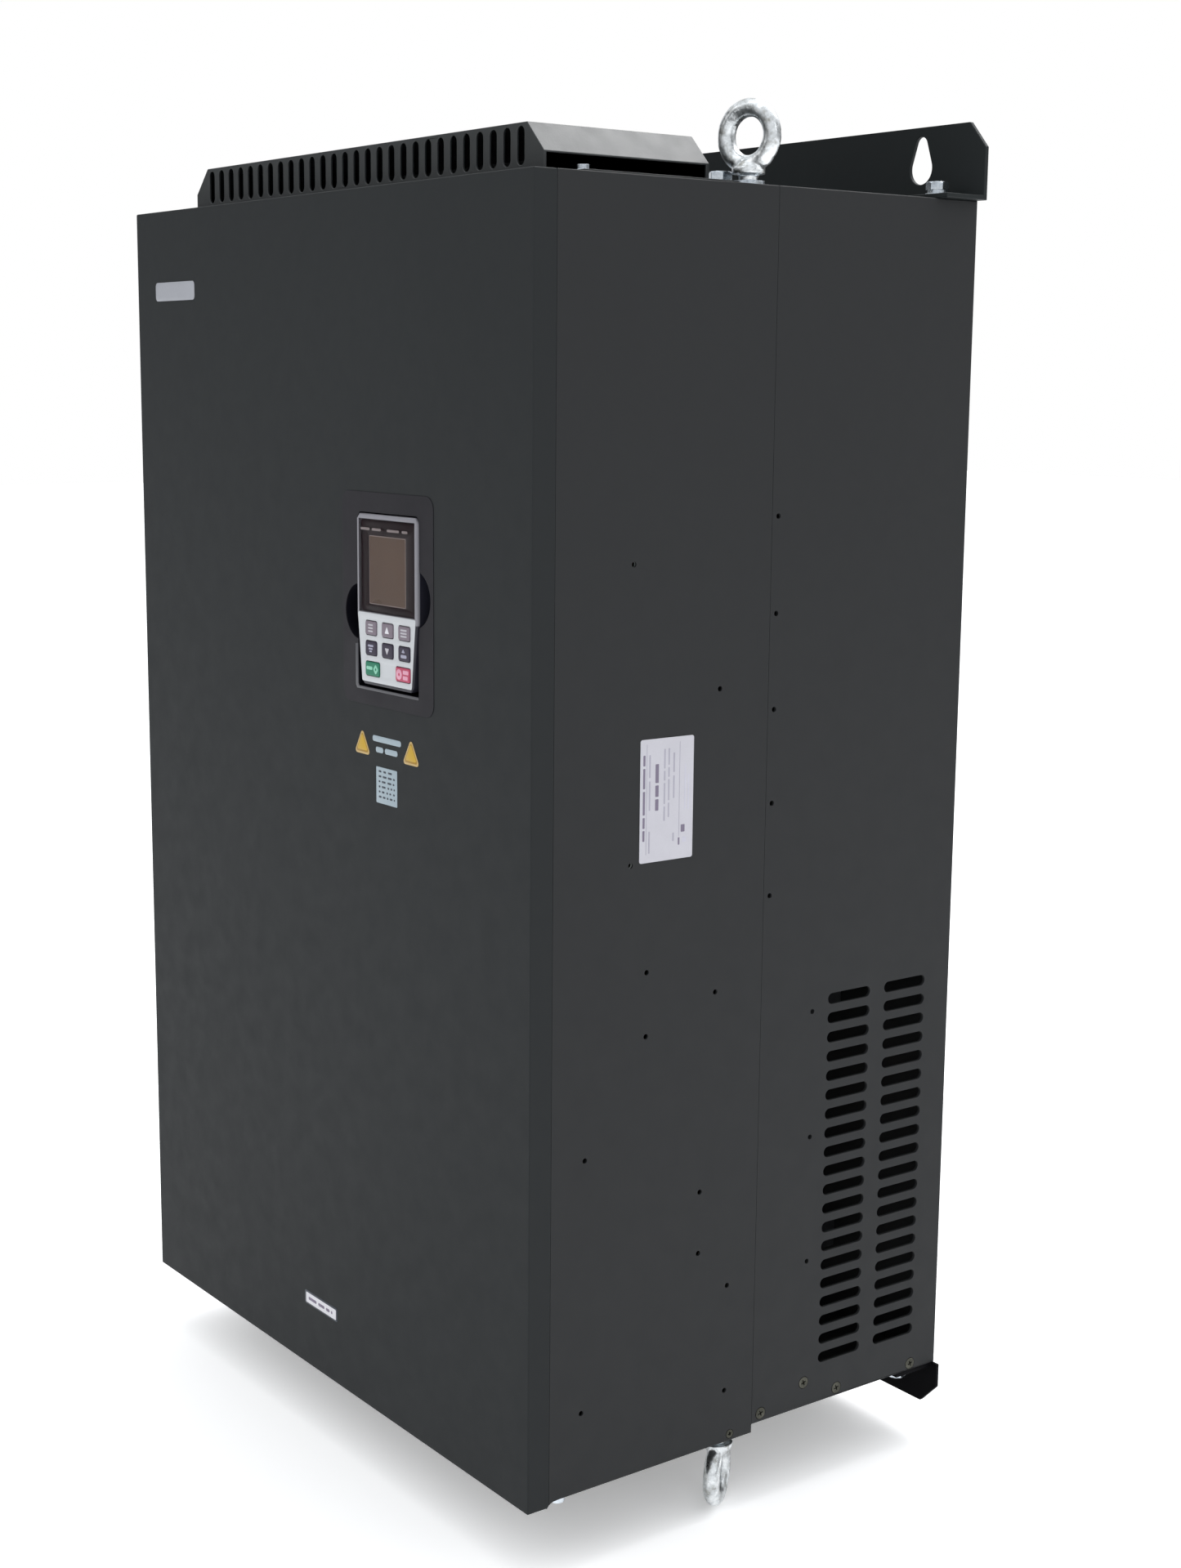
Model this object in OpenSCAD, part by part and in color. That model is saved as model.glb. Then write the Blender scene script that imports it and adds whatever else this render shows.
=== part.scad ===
// Wall-mounted variable frequency drive, built as a sheet-metal box with a
// lift-off front cover, a pull-out keypad, a slotted top hood, a rear cooling
// duct with three fans, lifting eyes and two wall brackets.
// Millimetres. +Z up, the front faces -Y, the wall is the plane Y = 0.
// Origin: centre of the rear wall face.

/* [Enclosure] */
// Width over the side panels
body_w = 500; // [480:2:520]
// Height of the box without brackets
body_h = 800; // [780:2:820]
// Depth from the wall plane to the front cover face
body_d = 349; // [340:1:360]
// Depth of the front cover pan
cover_d = 16; // [12:1:20]
// Front shell sheet thickness
shell_t = 1.5; // [1.2:0.1:2]
// Rear chassis sheet thickness
chassis_t = 2; // [1.5:0.5:3]

/* [Wall brackets] */
// Distance between the two mounting hole columns
hole_pitch_x = 400; // [360:10:420]
// Height of the upper keyhole seats above the centre
hole_top_z = 438; // [434:1:440]
// Depth of the lower mounting holes below the centre
hole_low_z = 412; // [408:1:414]
// Diameter of the mounting holes
hole_d = 11; // [9:1:13]
// Bracket sheet thickness
bracket_t = 3; // [2.5:0.5:4]

/* [Hood] */
// Width of the hood at its foot
hood_w = 430; // [410:2:440]
// Overall height of the hood
hood_h = 30.4; // [26:0.4:34]
// Number of vertical slots in the hood face
hood_slots = 28; // [20:1:30]

/* [Keypad] */
// Keypad centre line, from the middle of the cover
kp_x = 95; // [60:0.5:120]
// Key travel
key_travel = 0.8; // [0.5:0.1:1]
// Clearance around each key
key_gap = 0.35; // [0.3:0.05:0.5]

/* [Cooling] */
// Fan frame size
fan_size = 120; // [92:1:125]
// Number of heat sink fins
fin_count = 37; // [25:2:41]
// Rows of side vent slots
vent_rows = 20; // [12:1:21]

/* [Hidden] */

hw = body_w / 2;
hh = body_h / 2;
fy = -body_d;                 // front face
cy = fy + cover_d;            // rear edge of the cover pan
sy = cy + 0.2;                // front edge of the shell
my = -169.0;                  // rear edge of the shell
ry = -168.8;                  // front edge of the rear chassis
pt = 2;                       // partition thickness
py = ry - pt;                 // front face of the partition
zb = -hh + 2;                 // underside of the shell
cz = -hh - 1.6;               // underside of the cover
zr = -hh + 7.6;               // underside of the rear chassis
eps = 0.01;

// keypad opening and face levels
tray_x = kp_x - 1.5; tray_w = 107; tray_z0 = 79; tray_z1 = 214;
ty = fy - 0.4;                // tray face
pocket_d = 14;                // pocket depth behind the cover face
kz0 = 92.3; kz1 = 200.4;        // keypad bottom and top
kwb = 60.8; kwt = 71;       // keypad width at the bottom and top
ky = fy - 1.7;                // keypad face
kby = fy + pocket_d - 1;      // keypad back
mz = 136.5;                   // top edge of the key field
lcd_x = kp_x - 1.1;           // display centre

// hood
hx = hood_w / 2; hy0 = -317.4; hy1 = -195; hslant = 17; hwall = 13.2; ht = 1.5;

// lifting eyes and bolts
eye_x = 235; eye_y = -181; eyb_y = -185; bolt_x = 216; bolt_y = -187;
br_bolts = [-231, -80, 80, 231];
br_y = -18; br_d = 36;

// fans
fan_x = [-150, 0, 150]; fan_y = -104; fan_r = 57; fan_h = 38;

module bx(x0, x1, y0, y1, z0, z1) translate([x0, y0, z0]) cube([x1 - x0, y1 - y0, z1 - z0]);
module zc(x, y, z0, z1, r) translate([x, y, z0]) cylinder(h = z1 - z0, r = r, $fn = 48);
module yc(x, y0, y1, z, r) translate([x, y1, z]) rotate([90, 0, 0]) cylinder(h = y1 - y0, r = r, $fn = 48);
module xc(x0, x1, y, z, r) translate([x0, y, z]) rotate([0, 90, 0]) cylinder(h = x1 - x0, r = r, $fn = 48);
// outline in the X-Z plane swept from y0 to y1
module ysw(y0, y1) translate([0, y1, 0]) rotate([90, 0, 0]) linear_extrude(height = y1 - y0) children();
// outline given as (y, z) swept from x0 to x1
module xsw(x0, x1) translate([x0, 0, 0]) rotate([90, 0, 90]) linear_extrude(height = x1 - x0) children();
module rr(w, h, r) {
  square([w - 2 * r, h], center = true);
  square([w, h - 2 * r], center = true);
  for (sx = [-1, 1], sz = [-1, 1]) translate([sx * (w / 2 - r), sz * (h / 2 - r)]) circle(r = r, $fn = 32);
}
module pill(l, w) {
  square([l - w, w], center = true);
  for (s = [-1, 1]) translate([s * (l - w) / 2, 0]) circle(r = w / 2, $fn = 24);
}
module both() { children(); mirror([1, 0, 0]) children(); }

// ---------- front cover and what is on it ----------
cs_x = 238; cs_y = -318;      // cover screw places
// rounded relief behind the lower corners of the cover
module foot_round() xc(243, hw + 1, -328.2, -405.14, 7.14);
module front_cover() color([0.22, 0.23, 0.235]) difference() {
  union() {
    difference() {
      bx(-hw, hw, fy, cy, cz, hh);
      bx(-hw + shell_t, hw - shell_t, fy + shell_t, cy + 1, cz + shell_t, hh - shell_t);
    }
    // long bottom flange under the shell
    bx(-243, 243, cy - eps, -300, cz, cz + shell_t);
    // top tongues behind the top plate
    both() bx(150, 190, fy + shell_t - eps, -318, hh - 5.5, hh - 3.5);
  }
  // keypad opening
  translate([tray_x, 0, (tray_z0 + tray_z1) / 2]) ysw(fy - 1, fy + shell_t + 0.5) rr(tray_w - 5.4, tray_z1 - tray_z0 - 5.4, 6);
  // open slots for the cover screws
  both() union() {
    zc(cs_x, cs_y, cz - 1, cz + 2.5, 3);
    bx(cs_x - 3, cs_x + 3, cs_y, -299, cz - 1, cz + 2.5);
    foot_round();
  }
}

module tri(x, z, w, h) translate([x, 0, z]) ysw(fy - 0.3, fy) polygon([[-w / 2, 0], [w / 2, 0], [0, h]]);
module cover_labels() color([0.72, 0.74, 0.76]) {
  tri(62.2, 46.4, 19.5, 16.6);
  tri(120.5, 46.6, 20, 16.8);
  translate([91.8, 0, 58.2]) ysw(fy - 0.25, fy) pill(34, 3.4);
  translate([91.8, 0, 51.4]) ysw(fy - 0.25, fy) pill(26, 3.4);
  translate([91.5, 0, 28.8]) ysw(fy - 0.25, fy) rr(25, 23.4, 2);
  translate([0, 0, -351.5]) ysw(fy - 0.3, fy) rr(41, 7.4, 1.2);
  translate([-190, 0, 344]) ysw(fy - 0.4, fy) rr(60, 13, 3);
}

module kp_outline(g) polygon([[-kwb / 2 - g + 3, kz0 - g], [kwb / 2 + g - 3, kz0 - g], [kwb / 2 + g, kz0 - g + 3],
  [kwt / 2 + g, mz], [kwt / 2 + g, kz1 + g - 3], [kwt / 2 + g - 3, kz1 + g],
  [-kwt / 2 - g + 3, kz1 + g], [-kwt / 2 - g, kz1 + g - 3], [-kwt / 2 - g, mz], [-kwb / 2 - g, kz0 - g + 3]]);

scoop_x = 32.3; scoop_z = [138, 150.5]; scoop_r = 17.9;
module keypad_tray() color([0.25, 0.235, 0.25]) difference() {
  union() {
    translate([tray_x, 0, (tray_z0 + tray_z1) / 2]) ysw(ty, fy) rr(tray_w, tray_z1 - tray_z0, 8);
    translate([tray_x, 0, (tray_z0 + tray_z1) / 2]) ysw(fy - eps, fy + pocket_d + 2) rr(tray_w - 6, tray_z1 - tray_z0 - 6, 6);
  }
  translate([kp_x, 0, 0]) ysw(fy - 5, fy + pocket_d) kp_outline(0.9);
  // straight-sided lower part of the pocket
  bx(kp_x - 36.4, kp_x + 35.2, fy - 5, fy + pocket_d, 90.4, 137);
  // finger scoops
  for (s = [0, 1]) yc(tray_x + (2 * s - 1) * scoop_x, fy - 5, fy + 9, scoop_z[s], scoop_r);
  // cable window in the pocket floor
  bx(kp_x - 10, kp_x + 10, fy + pocket_d - 1, fy + pocket_d + 5, 150, 166);
}

key_rows = [128.8, 116, 102.9];
function key_at(i) = i < 6 ? [kp_x + 1.7 + (i % 3 - 1) * 19.6, key_rows[floor(i / 3)]]
                           : [kp_x + 1.7 + (i == 6 ? -18 : 18), key_rows[2]];
function key_size(i) = i < 6 ? [13, 8.7] : [16.4, 8.7];
module key_shape(i, g) rr(key_size(i)[0] + 2 * g, key_size(i)[1] + 2 * g, 1.3 + g);

module keypad_housing() color([0.74, 0.76, 0.77]) difference() {
  union() {
    translate([kp_x, 0, 0]) ysw(ky, kby) intersection() { kp_outline(0); translate([-50, kz0]) square([100, kz1 - kz0]); }
  }
  // recess for the display window
  bx(kp_x - 33, kp_x + 33, ky - 1, ky + 1.6, mz + 2, kz1 - 3);
  // display pocket
  bx(lcd_x - 26, lcd_x + 26, ky + 1.5, ky + 9, 141.5, 190);
  // key wells
  for (i = [0:7]) translate([key_at(i)[0], 0, key_at(i)[1]]) ysw(ky - 1, ky + 5) key_shape(i, key_gap);
  // connector recess at the back
  bx(kp_x - 9, kp_x + 9, kby - 6, kby + 1, 151, 165);
}
module keypad_window() color([0.09, 0.07, 0.08, 0.8])
  bx(kp_x - 32.8, kp_x + 32.8, ky + 0.1, ky + 1.6, mz + 2.2, kz1 - 3.2);
module lcd_module() color([0.42, 0.36, 0.32]) difference() {
  union() {
    bx(lcd_x - 25.5, lcd_x + 25.5, ky + 3, ky + 8.8, 142, 189.5);
    bx(lcd_x - 21.6, lcd_x + 21.6, ky + 1.7, ky + 3, 143.8, 187);
  }
  bx(lcd_x - 18, lcd_x + 18, ky + 7.5, ky + 9, 146, 184);
}
module key_n(i, c) color(c) translate([key_at(i)[0], 0, key_at(i)[1]]) ysw(ky - 0.9, ky + 3.6) key_shape(i, 0);
module key_menu() key_n(0, [0.46, 0.42, 0.46]);
module key_up() key_n(1, [0.46, 0.42, 0.46]);
module key_data() key_n(2, [0.46, 0.42, 0.46]);
module key_quick() key_n(3, [0.18, 0.16, 0.22]);
module key_down() key_n(4, [0.18, 0.16, 0.22]);
module key_shift() key_n(5, [0.18, 0.16, 0.22]);
module key_run() key_n(6, [0.1, 0.45, 0.32]);
module key_stop() key_n(7, [0.8, 0.25, 0.38]);

// ---------- front shell ----------
// small round holes in the side panels, as (y, z)
holes_shell = [[-275.6, 177.6], [-208, 99.2], [-275.5, -3.4], [-262, -71.5], [-207.2, -92.1], [-262, -112],
  [-307.7, -182.4], [-216.8, -221.5], [-217.2, -262.3], [-192.5, -289.7], [-308.8, -345.7], [-193, -361.7]];
holes_chassis = [[-163.8, 203], [-163.8, 143], [-163.8, 83], [-163.8, 23.5], [-163.8, -36],
  [-124.5, -118.1], [-123.7, -203.3], [-123.6, -289.3]];
screws_shell = [[-187.6, -393.4]];
screws_chassis = [[-161.2, -386.4], [-123.5, -375], [-93.4, -386.6], [-24, -387.4]];
sc_r = 4; ss_r = 2.9;         // countersunk head radii, chassis and shell

module side_panel() difference() {
  union() {
    bx(hw - shell_t, hw, sy, my, zb, hh);
    bx(hw - 14, hw - shell_t + eps, sy, sy + shell_t, zb + 2, hh - 2);
    bx(hw - shell_t, hw, sy, -328.2, cz, zb + eps);
  }
  foot_round();
  for (p = holes_shell) xc(hw - 5, hw + 1, p[0], p[1], 1.7);
  for (p = screws_shell) xc(hw - 5, hw + 1, p[0], p[1], ss_r + 0.25);
}
module side_right() color([0.215, 0.22, 0.225]) side_panel();
module side_left() color([0.215, 0.22, 0.225]) mirror([1, 0, 0]) side_panel();

module top_plate() color([0.215, 0.22, 0.225]) difference() {
  bx(-hw + shell_t, hw - shell_t, sy, my, hh - shell_t, hh);
  // hot air windows under the hood
  for (x = [-140, 0, 140]) bx(x - 62, x + 62, -302, -210, hh - 3, hh + 1);
  both() union() {
    zc(eye_x, eye_y, hh - 3, hh + 1, 5.3);
    zc(bolt_x, bolt_y, hh - 3, hh + 1, 4.3);
    zc(hs_x, hs_y, hh - 3, hh + 1, 2.6);
  }
}
module lifting_plates() color([0.6, 0.6, 0.58]) both() for (s = [-1, 1])
  difference() {
    z0 = s > 0 ? hh - shell_t - 10 : zb + shell_t;
    bx(200, hw - shell_t - 0.2, -199, py - 0.2, z0, z0 + 10);
    zc(eye_x, s > 0 ? eye_y : eyb_y, z0 - 1, z0 + 11, 5.1);
    zc(bolt_x, bolt_y, z0 - 1, z0 + 11, 4.1);
    for (p = screws_shell) xc(241, hw, p[0], p[1], 2.5);
  }

gr_x = [-200, -120, -40, 40, 120, 200]; gr_y = -245; gr_r = 24;
gs_x = [-80, 0, 80]; gs_y = -197; gs_r = 12;
module bottom_plate() color([0.215, 0.22, 0.225]) difference() {
  bx(-hw + shell_t, hw - shell_t, sy, my, zb, zb + shell_t);
  for (x = gr_x) zc(x, gr_y, zb - 1, zb + 3, gr_r);
  for (x = gs_x) zc(x, gs_y, zb - 1, zb + 3, gs_r);
  both() union() {
    zc(eye_x, eyb_y, zb - 1, zb + 3, 5.3);
    zc(bolt_x, bolt_y, zb - 1, zb + 3, 4.3);
    zc(cs_x, cs_y, zb - 1, zb + 3, 2.6);
  }
}
module grommet(x, y, r) translate([x, y, 0]) difference() {
  union() {
    zc(0, 0, zb - 3, zb, r + 2.5);
    zc(0, 0, zb - eps, zb + shell_t + eps, r - 0.1);
    zc(0, 0, zb + shell_t, zb + shell_t + 3, r + 2.5);
  }
  zc(0, 0, zb - 5, zb + 8, r - 4);
}
module cable_grommets() color([0.08, 0.08, 0.08]) {
  for (x = gr_x) grommet(x, gr_y, gr_r);
  for (x = gs_x) grommet(x, gs_y, gs_r);
}

// ---------- rear chassis ----------
vent_z0 = -112; vent_p = 13.1;
module chassis_panel() difference() {
  bx(hw - chassis_t, hw, ry, 0, zr, hh);
  for (p = holes_chassis) xc(hw - 5, hw + 1, p[0], p[1], 1.7);
  for (p = screws_chassis) xc(hw - 5, hw + 1, p[0], p[1], sc_r + 0.25);
  for (i = [0 : vent_rows - 1], y = [-92.2, -41.8])
    translate([0, y, vent_z0 - i * vent_p]) xsw(hw - 5, hw + 1) pill(37.5, 7.4);
}
module chassis_right() color([0.215, 0.22, 0.225]) chassis_panel();
module chassis_left() color([0.215, 0.22, 0.225]) mirror([1, 0, 0]) chassis_panel();

module chassis_top() color([0.215, 0.22, 0.225]) difference() {
  bx(-hw + chassis_t, hw - chassis_t, ry, -1.5, hh - chassis_t, hh);
  for (x = fan_x) zc(x, fan_y, hh - 4, hh + 1, fan_r - 1);
  for (x = br_bolts) zc(x, br_y, hh - 4, hh + 1, 4.3);
}
module chassis_bottom() color([0.215, 0.22, 0.225]) difference() {
  bx(-hw + chassis_t, hw - chassis_t, ry, -1.5, zr, zr + chassis_t);
  for (i = [0:17]) translate([(i - 8.5) * 22, -100, zr - 1]) linear_extrude(height = 5) rotate(90) pill(92, 10);
  for (x = br_bolts) zc(x, br_y, zr - 1, zr + 4, 4.3);
}
module rear_panel() color([0.215, 0.22, 0.225])
  bx(-hw + chassis_t, hw - chassis_t, -1.5, 0, zr, hh);

hs_w = 400; hs_z0 = -40; hs_z1 = 300;    // heat sink
module partition() color([0.62, 0.63, 0.62]) difference() {
  bx(-hw + shell_t, hw - shell_t, py, ry, zb + shell_t, hh - shell_t);
  bx(-175, 175, py - 1, ry + 1, -15, 285);
}

// ---------- hood ----------
hs_x = 229; hs_y = -300;
module hood_profile(o) polygon([[-hx + o, -1], [-hx + o, hwall - o * 0.4], [-hx + hslant + o * 0.4, hood_h - o],
  [hx - hslant - o * 0.4, hood_h - o], [hx - o, hwall - o * 0.4], [hx - o, -1]]);
module vent_hood() color([0.22, 0.23, 0.235]) difference() {
  union() {
    translate([0, 0, hh]) ysw(hy0, hy1) intersection() { hood_profile(0); translate([-300, 0]) square([600, 60]); }
    bx(-243, 243, hy0 + 8, hy1 - 4, hh, hh + ht);
  }
  translate([0, 0, hh]) ysw(hy0 + ht, hy1 - ht) hood_profile(ht);
  for (i = [0 : hood_slots - 1])
    translate([(i - (hood_slots - 1) / 2) * 14.2, 0, hh + 17.3]) ysw(hy0 - 1, hy0 + 4) rotate(90) pill(22, 7.4);
  both() union() {
    zc(hs_x, hs_y, hh - 1, hh + 3, 2.7);
    // long window in each end wall
    bx(hx - 3, hx + 1, hy0 + 1.9, hy1 - 2.5, hh + 2.2, hh + hwall - 1);
  }
}
module hood_screws() color([0.75, 0.76, 0.77]) both() translate([hs_x, hs_y, 0]) {
  difference() {
    union() {
      zc(0, 0, hh + ht, hh + ht + 1, 4.4);
      zc(0, 0, hh + ht + 1 - eps, hh + ht + 3.7, 3.8);
      zc(0, 0, hh - 8, hh + ht + 1, 2.45);
    }
    for (a = [0, 90]) translate([0, 0, hh + ht + 2.6]) rotate(a) bx(-2.2, 2.2, -0.4, 0.4, 0, 3);
  }
}

// ---------- brackets and fasteners ----------
module keyhole() {
  d = hole_top_z - 423.2; R = 10.2; r = hole_d / 2 - 0.1; a = asin((R - r) / d);
  translate([0, 423.2]) circle(r = R, $fn = 48);
  translate([0, hole_top_z]) circle(r = r, $fn = 48);
  polygon([[-R * cos(a), 423.2 + R * sin(a)], [R * cos(a), 423.2 + R * sin(a)],
    [r * cos(a), hole_top_z + r * sin(a)], [-r * cos(a), hole_top_z + r * sin(a)]]);
}
bu = 258; bw = 255; bz1 = 449.4; bz0 = -424;
module wall_bracket_top() color([0.15, 0.16, 0.165]) difference() {
  union() {
    ysw(-bracket_t, 0) polygon([[-bu, hh], [bu, hh], [bu, 433], [bu - 14.5, bz1], [-bu + 14.5, bz1], [-bu, 433]]);
    bx(-bu, bu, -br_d, -bracket_t + eps, hh, hh + bracket_t);
  }
  for (s = [-1, 1]) translate([s * hole_pitch_x / 2, 0, 0]) ysw(-5, 1) keyhole();
  for (x = br_bolts) zc(x, br_y, hh - 1, hh + 5, 4.3);
}
module wall_bracket_bottom() color([0.15, 0.16, 0.165]) difference() {
  union() {
    ysw(-bracket_t, 0) polygon([[-bw, zr], [bw, zr], [bw, -409], [bw - 14.5, bz0], [-bw + 14.5, bz0], [-bw, -409]]);
    bx(-hw + 0.5, hw - 0.5, -br_d, -bracket_t + eps, zr - bracket_t, zr);
  }
  for (s = [-1, 1]) yc(s * hole_pitch_x / 2, -5, 1, -hole_low_z, hole_d / 2);
  for (x = br_bolts) zc(x, br_y, zr - 5, zr + 1, 4.3);
}
// every M8 bolt: place, seat height and direction
m8 = concat([for (x = br_bolts) [x, br_y, hh + bracket_t, 1]], [for (x = br_bolts) [x, br_y, zr - bracket_t, -1]],
  [for (s = [-1, 1]) [s * bolt_x, bolt_y, hh, 1]], [for (s = [-1, 1]) [s * bolt_x, bolt_y, zb, -1]]);
module at_m8() for (p = m8) translate([p[0], p[1], p[2]]) mirror([0, 0, p[3] > 0 ? 0 : 1]) rotate(p[0] * 0.7) children();
module hex_bolts() color([0.72, 0.75, 0.78]) at_m8() union() {
  difference() {
    translate([0, 0, 3.7]) cylinder(h = 5.3, r = 7.5, $fn = 6);
    // chamfered crown
    difference() {
      translate([0, 0, 7.6]) cylinder(h = 3, r = 12, $fn = 48);
      translate([0, 0, 7.5]) cylinder(h = 1.6, r1 = 7.9, r2 = 6.2, $fn = 48);
    }
  }
  translate([0, 0, -16]) cylinder(h = 19.8, r = 3.95, $fn = 32);
}
module spring_washers() color([0.66, 0.69, 0.72]) at_m8() difference() {
  translate([0, 0, 1.6]) cylinder(h = 2.1, r = 6.5, $fn = 48);
  translate([0, 0, 1]) cylinder(h = 4, r = 4.15, $fn = 32);
  translate([3, -0.5, 1]) cube([6, 1, 4]);
}
module flat_washers() color([0.7, 0.73, 0.76]) {
  at_m8() difference() {
    cylinder(h = 1.6, r = 8, $fn = 48);
    translate([0, 0, -1]) cylinder(h = 4, r = 4.2, $fn = 32);
  }
  at_eye() difference() {
    cylinder(h = 2.4, r = 10, $fn = 48);
    translate([0, 0, -1]) cylinder(h = 5, r = 5.3, $fn = 32);
  }
}
module at_eye() both() for (s = [0, 1]) translate([eye_x, s ? eyb_y : eye_y, s ? zb : hh]) mirror([0, 0, s]) children();
module eye(a) rotate(a) union() {
  translate([0, 0, 28.8]) rotate([90, 0, 0]) rotate_extrude($fn = 64) translate([16.55, 0]) circle(r = 5.65, $fn = 32);
  translate([0, 0, 6.3]) cylinder(h = 4.2, r = 10.2, $fn = 48);
  translate([0, 0, 10.5]) cylinder(h = 4, r1 = 9.6, r2 = 6.5, $fn = 48);
  translate([0, 0, 2.4]) cylinder(h = 4, r = 6, $fn = 48);
  translate([0, 0, -18]) cylinder(h = 21, r = 4.95, $fn = 32);
}
module eye_bolts_top() color([0.75, 0.78, 0.8]) {
  translate([eye_x, eye_y, hh]) eye(14.6);
  translate([-eye_x, eye_y, hh]) eye(-32);
}
module eye_bolts_bottom() color([0.75, 0.78, 0.8]) {
  translate([eye_x, eyb_y, zb]) mirror([0, 0, 1]) eye(-53);
  translate([-eye_x, eyb_y, zb]) mirror([0, 0, 1]) eye(22);
}
module side_screw(x, p, r, l) translate([x, p[0], p[1]]) rotate([0, 90, 0]) difference() {
  union() {
    translate([0, 0, -2.2]) cylinder(h = 2.3, r1 = r / 2, r2 = r, $fn = 48);
    translate([0, 0, -l]) cylinder(h = l - 2, r = r / 2 - 0.05, $fn = 32);
  }
  for (a = [0, 90]) rotate(a + 20) translate([-r * 0.475, -0.4, -1.1]) cube([r * 0.95, 0.8, 3]);
}
module side_screws() color([0.3, 0.31, 0.32]) both() {
  for (p = screws_shell) side_screw(hw, p, ss_r, 8);
  for (p = screws_chassis) side_screw(hw, p, sc_r, 12);
}
module cover_screws() color([0.7, 0.72, 0.74]) both() translate([cs_x, cs_y, 0]) difference() {
  union() {
    zc(0, 0, cz - 3.9, cz - 0.4, 4.7);
    zc(0, 0, cz - 0.5, zb + 9, 2.45);
  }
  for (a = [0, 90]) rotate(a) bx(-2.4, 2.4, -0.45, 0.45, cz - 5, cz - 2.6);
}
module nameplate() color([0.8, 0.8, 0.86])
  translate([0, -248.6, 34.8]) xsw(hw, hw + 0.3) rr(41, 75.5, 1.5);

// ---------- duct: heat sink, fans, reactor ----------
module heatsink() color([0.78, 0.79, 0.8]) union() {
  bx(-hs_w / 2, hs_w / 2, ry, ry + 16, hs_z0, hs_z1);
  for (i = [0 : fin_count - 1]) {
    x = (i - (fin_count - 1) / 2) * (hs_w - 3) / (fin_count - 1);
    bx(x - 1.2, x + 1.2, ry + 16 - eps, -22, hs_z0, hs_z1);
  }
}
module fan_frames() color([0.1, 0.1, 0.105]) for (x = fan_x) translate([x, fan_y, hh - chassis_t - fan_h]) {
  difference() {
    linear_extrude(height = fan_h) rr(fan_size, fan_size, 5);
    translate([0, 0, -1]) cylinder(h = fan_h + 2, r = fan_r, $fn = 64);
    for (sx = [-1, 1], sz = [-1, 1]) translate([sx * 52.5, sz * 52.5, -1]) cylinder(h = fan_h + 2, r = 2.2, $fn = 24);
  }
  cylinder(h = 4, r = 24, $fn = 48);
  for (a = [45 : 90 : 315]) rotate(a) translate([22, -3, 0]) cube([36.5, 6, 4]);
}
module rotor(x) color([0.14, 0.14, 0.15]) translate([x, fan_y, hh - chassis_t - fan_h]) union() {
  difference() {
    translate([0, 0, 4.6]) cylinder(h = 30, r = 22, $fn = 48);
    translate([0, 0, 33]) cylinder(h = 3, r = 15, $fn = 48);
  }
  for (i = [0:6]) rotate(i * 360 / 7) translate([19, 0, 20]) rotate([42, 0, 0]) translate([0, -15, -1]) cube([34, 30, 2]);
}
module fan_rotor_left() rotor(fan_x[0]);
module fan_rotor_centre() rotor(fan_x[1]);
module fan_rotor_right() rotor(fan_x[2]);
module fan_guards() color([0.7, 0.72, 0.74]) for (x = fan_x) translate([x, fan_y, hh]) union() {
  for (r = [16, 26, 36, 46, 57]) difference() {
    cylinder(h = 2, r = r + 1, $fn = 64);
    translate([0, 0, -1]) cylinder(h = 4, r = r - 1, $fn = 64);
  }
  for (a = [45 : 90 : 315]) rotate(a) translate([15.5, -1, 0]) cube([51, 2, 1.6]);
}
rc_z0 = -345; rc_z1 = -135;   // reactor core
module dc_reactor_core() color([0.35, 0.36, 0.37]) union() {
  difference() {
    bx(-105, 105, -132, -56, rc_z0, rc_z1);
    bx(-61, 61, -133, -55, rc_z0 + 42, rc_z1 - 42);
  }
  for (z = [rc_z0 + 6, rc_z1 - 26]) bx(-150, 150, -56 - eps, -50, z, z + 20);
  for (x = [-146, 126], z = [rc_z0 + 6, rc_z1 - 26]) bx(x, x + 20, -50 - eps, -1.5, z, z + 20);
}
module dc_reactor_coils() color([0.55, 0.27, 0.12]) both() difference() {
  translate([83, -94, rc_z0 + 44]) linear_extrude(height = rc_z1 - rc_z0 - 88) rr(76, 108, 12);
  bx(60.9, 105.1, -132.2, -55.8, rc_z0, rc_z1);
}

// ---------- power section ----------
ig_x = [-95, 0, 95];
module igbt_modules() color([0.82, 0.8, 0.74]) for (x = ig_x) union() {
  bx(x - 45, x + 45, ry - 6, ry, 10, 160);
  bx(x - 42, x + 42, ry - 30, ry - 6 + eps, 14, 156);
  for (z = [28, 60]) bx(x - 30, x + 30, ry - 36, ry - 30 + eps, z, z + 18);
  for (dx = [-25, 25]) bx(x + dx - 12, x + dx + 12, ry - 36, ry - 30 + eps, 132, 152);
}
rf_x = [-95, 0, 95];
module rectifier_modules() color([0.2, 0.2, 0.21]) for (x = rf_x) union() {
  bx(x - 46, x + 46, ry - 6, ry, 196, 246);
  bx(x - 40, x + 40, ry - 30, ry - 6 + eps, 200, 242);
  for (dx = [-25, 0, 25]) bx(x + dx - 9, x + dx + 9, ry - 34, ry - 30 + eps, 212, 230);
}
cap_x = [-88, 0, 88]; cap_z = [-115, -205];
module dc_capacitors() color([0.12, 0.14, 0.2]) for (x = cap_x, z = cap_z) difference() {
  union() {
    yc(x, py - 116, py, z, 38);
    for (dx = [-13, 13]) yc(x + dx, py - 122, py - 116 + eps, z, 5);
  }
  translate([x, py - 116, z]) rotate([90, 0, 0]) difference() {
    translate([0, 0, -2]) cylinder(h = 3, r = 35.5, $fn = 48);
    translate([0, 0, -3]) cylinder(h = 5, r = 33.5, $fn = 48);
  }
}
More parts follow.
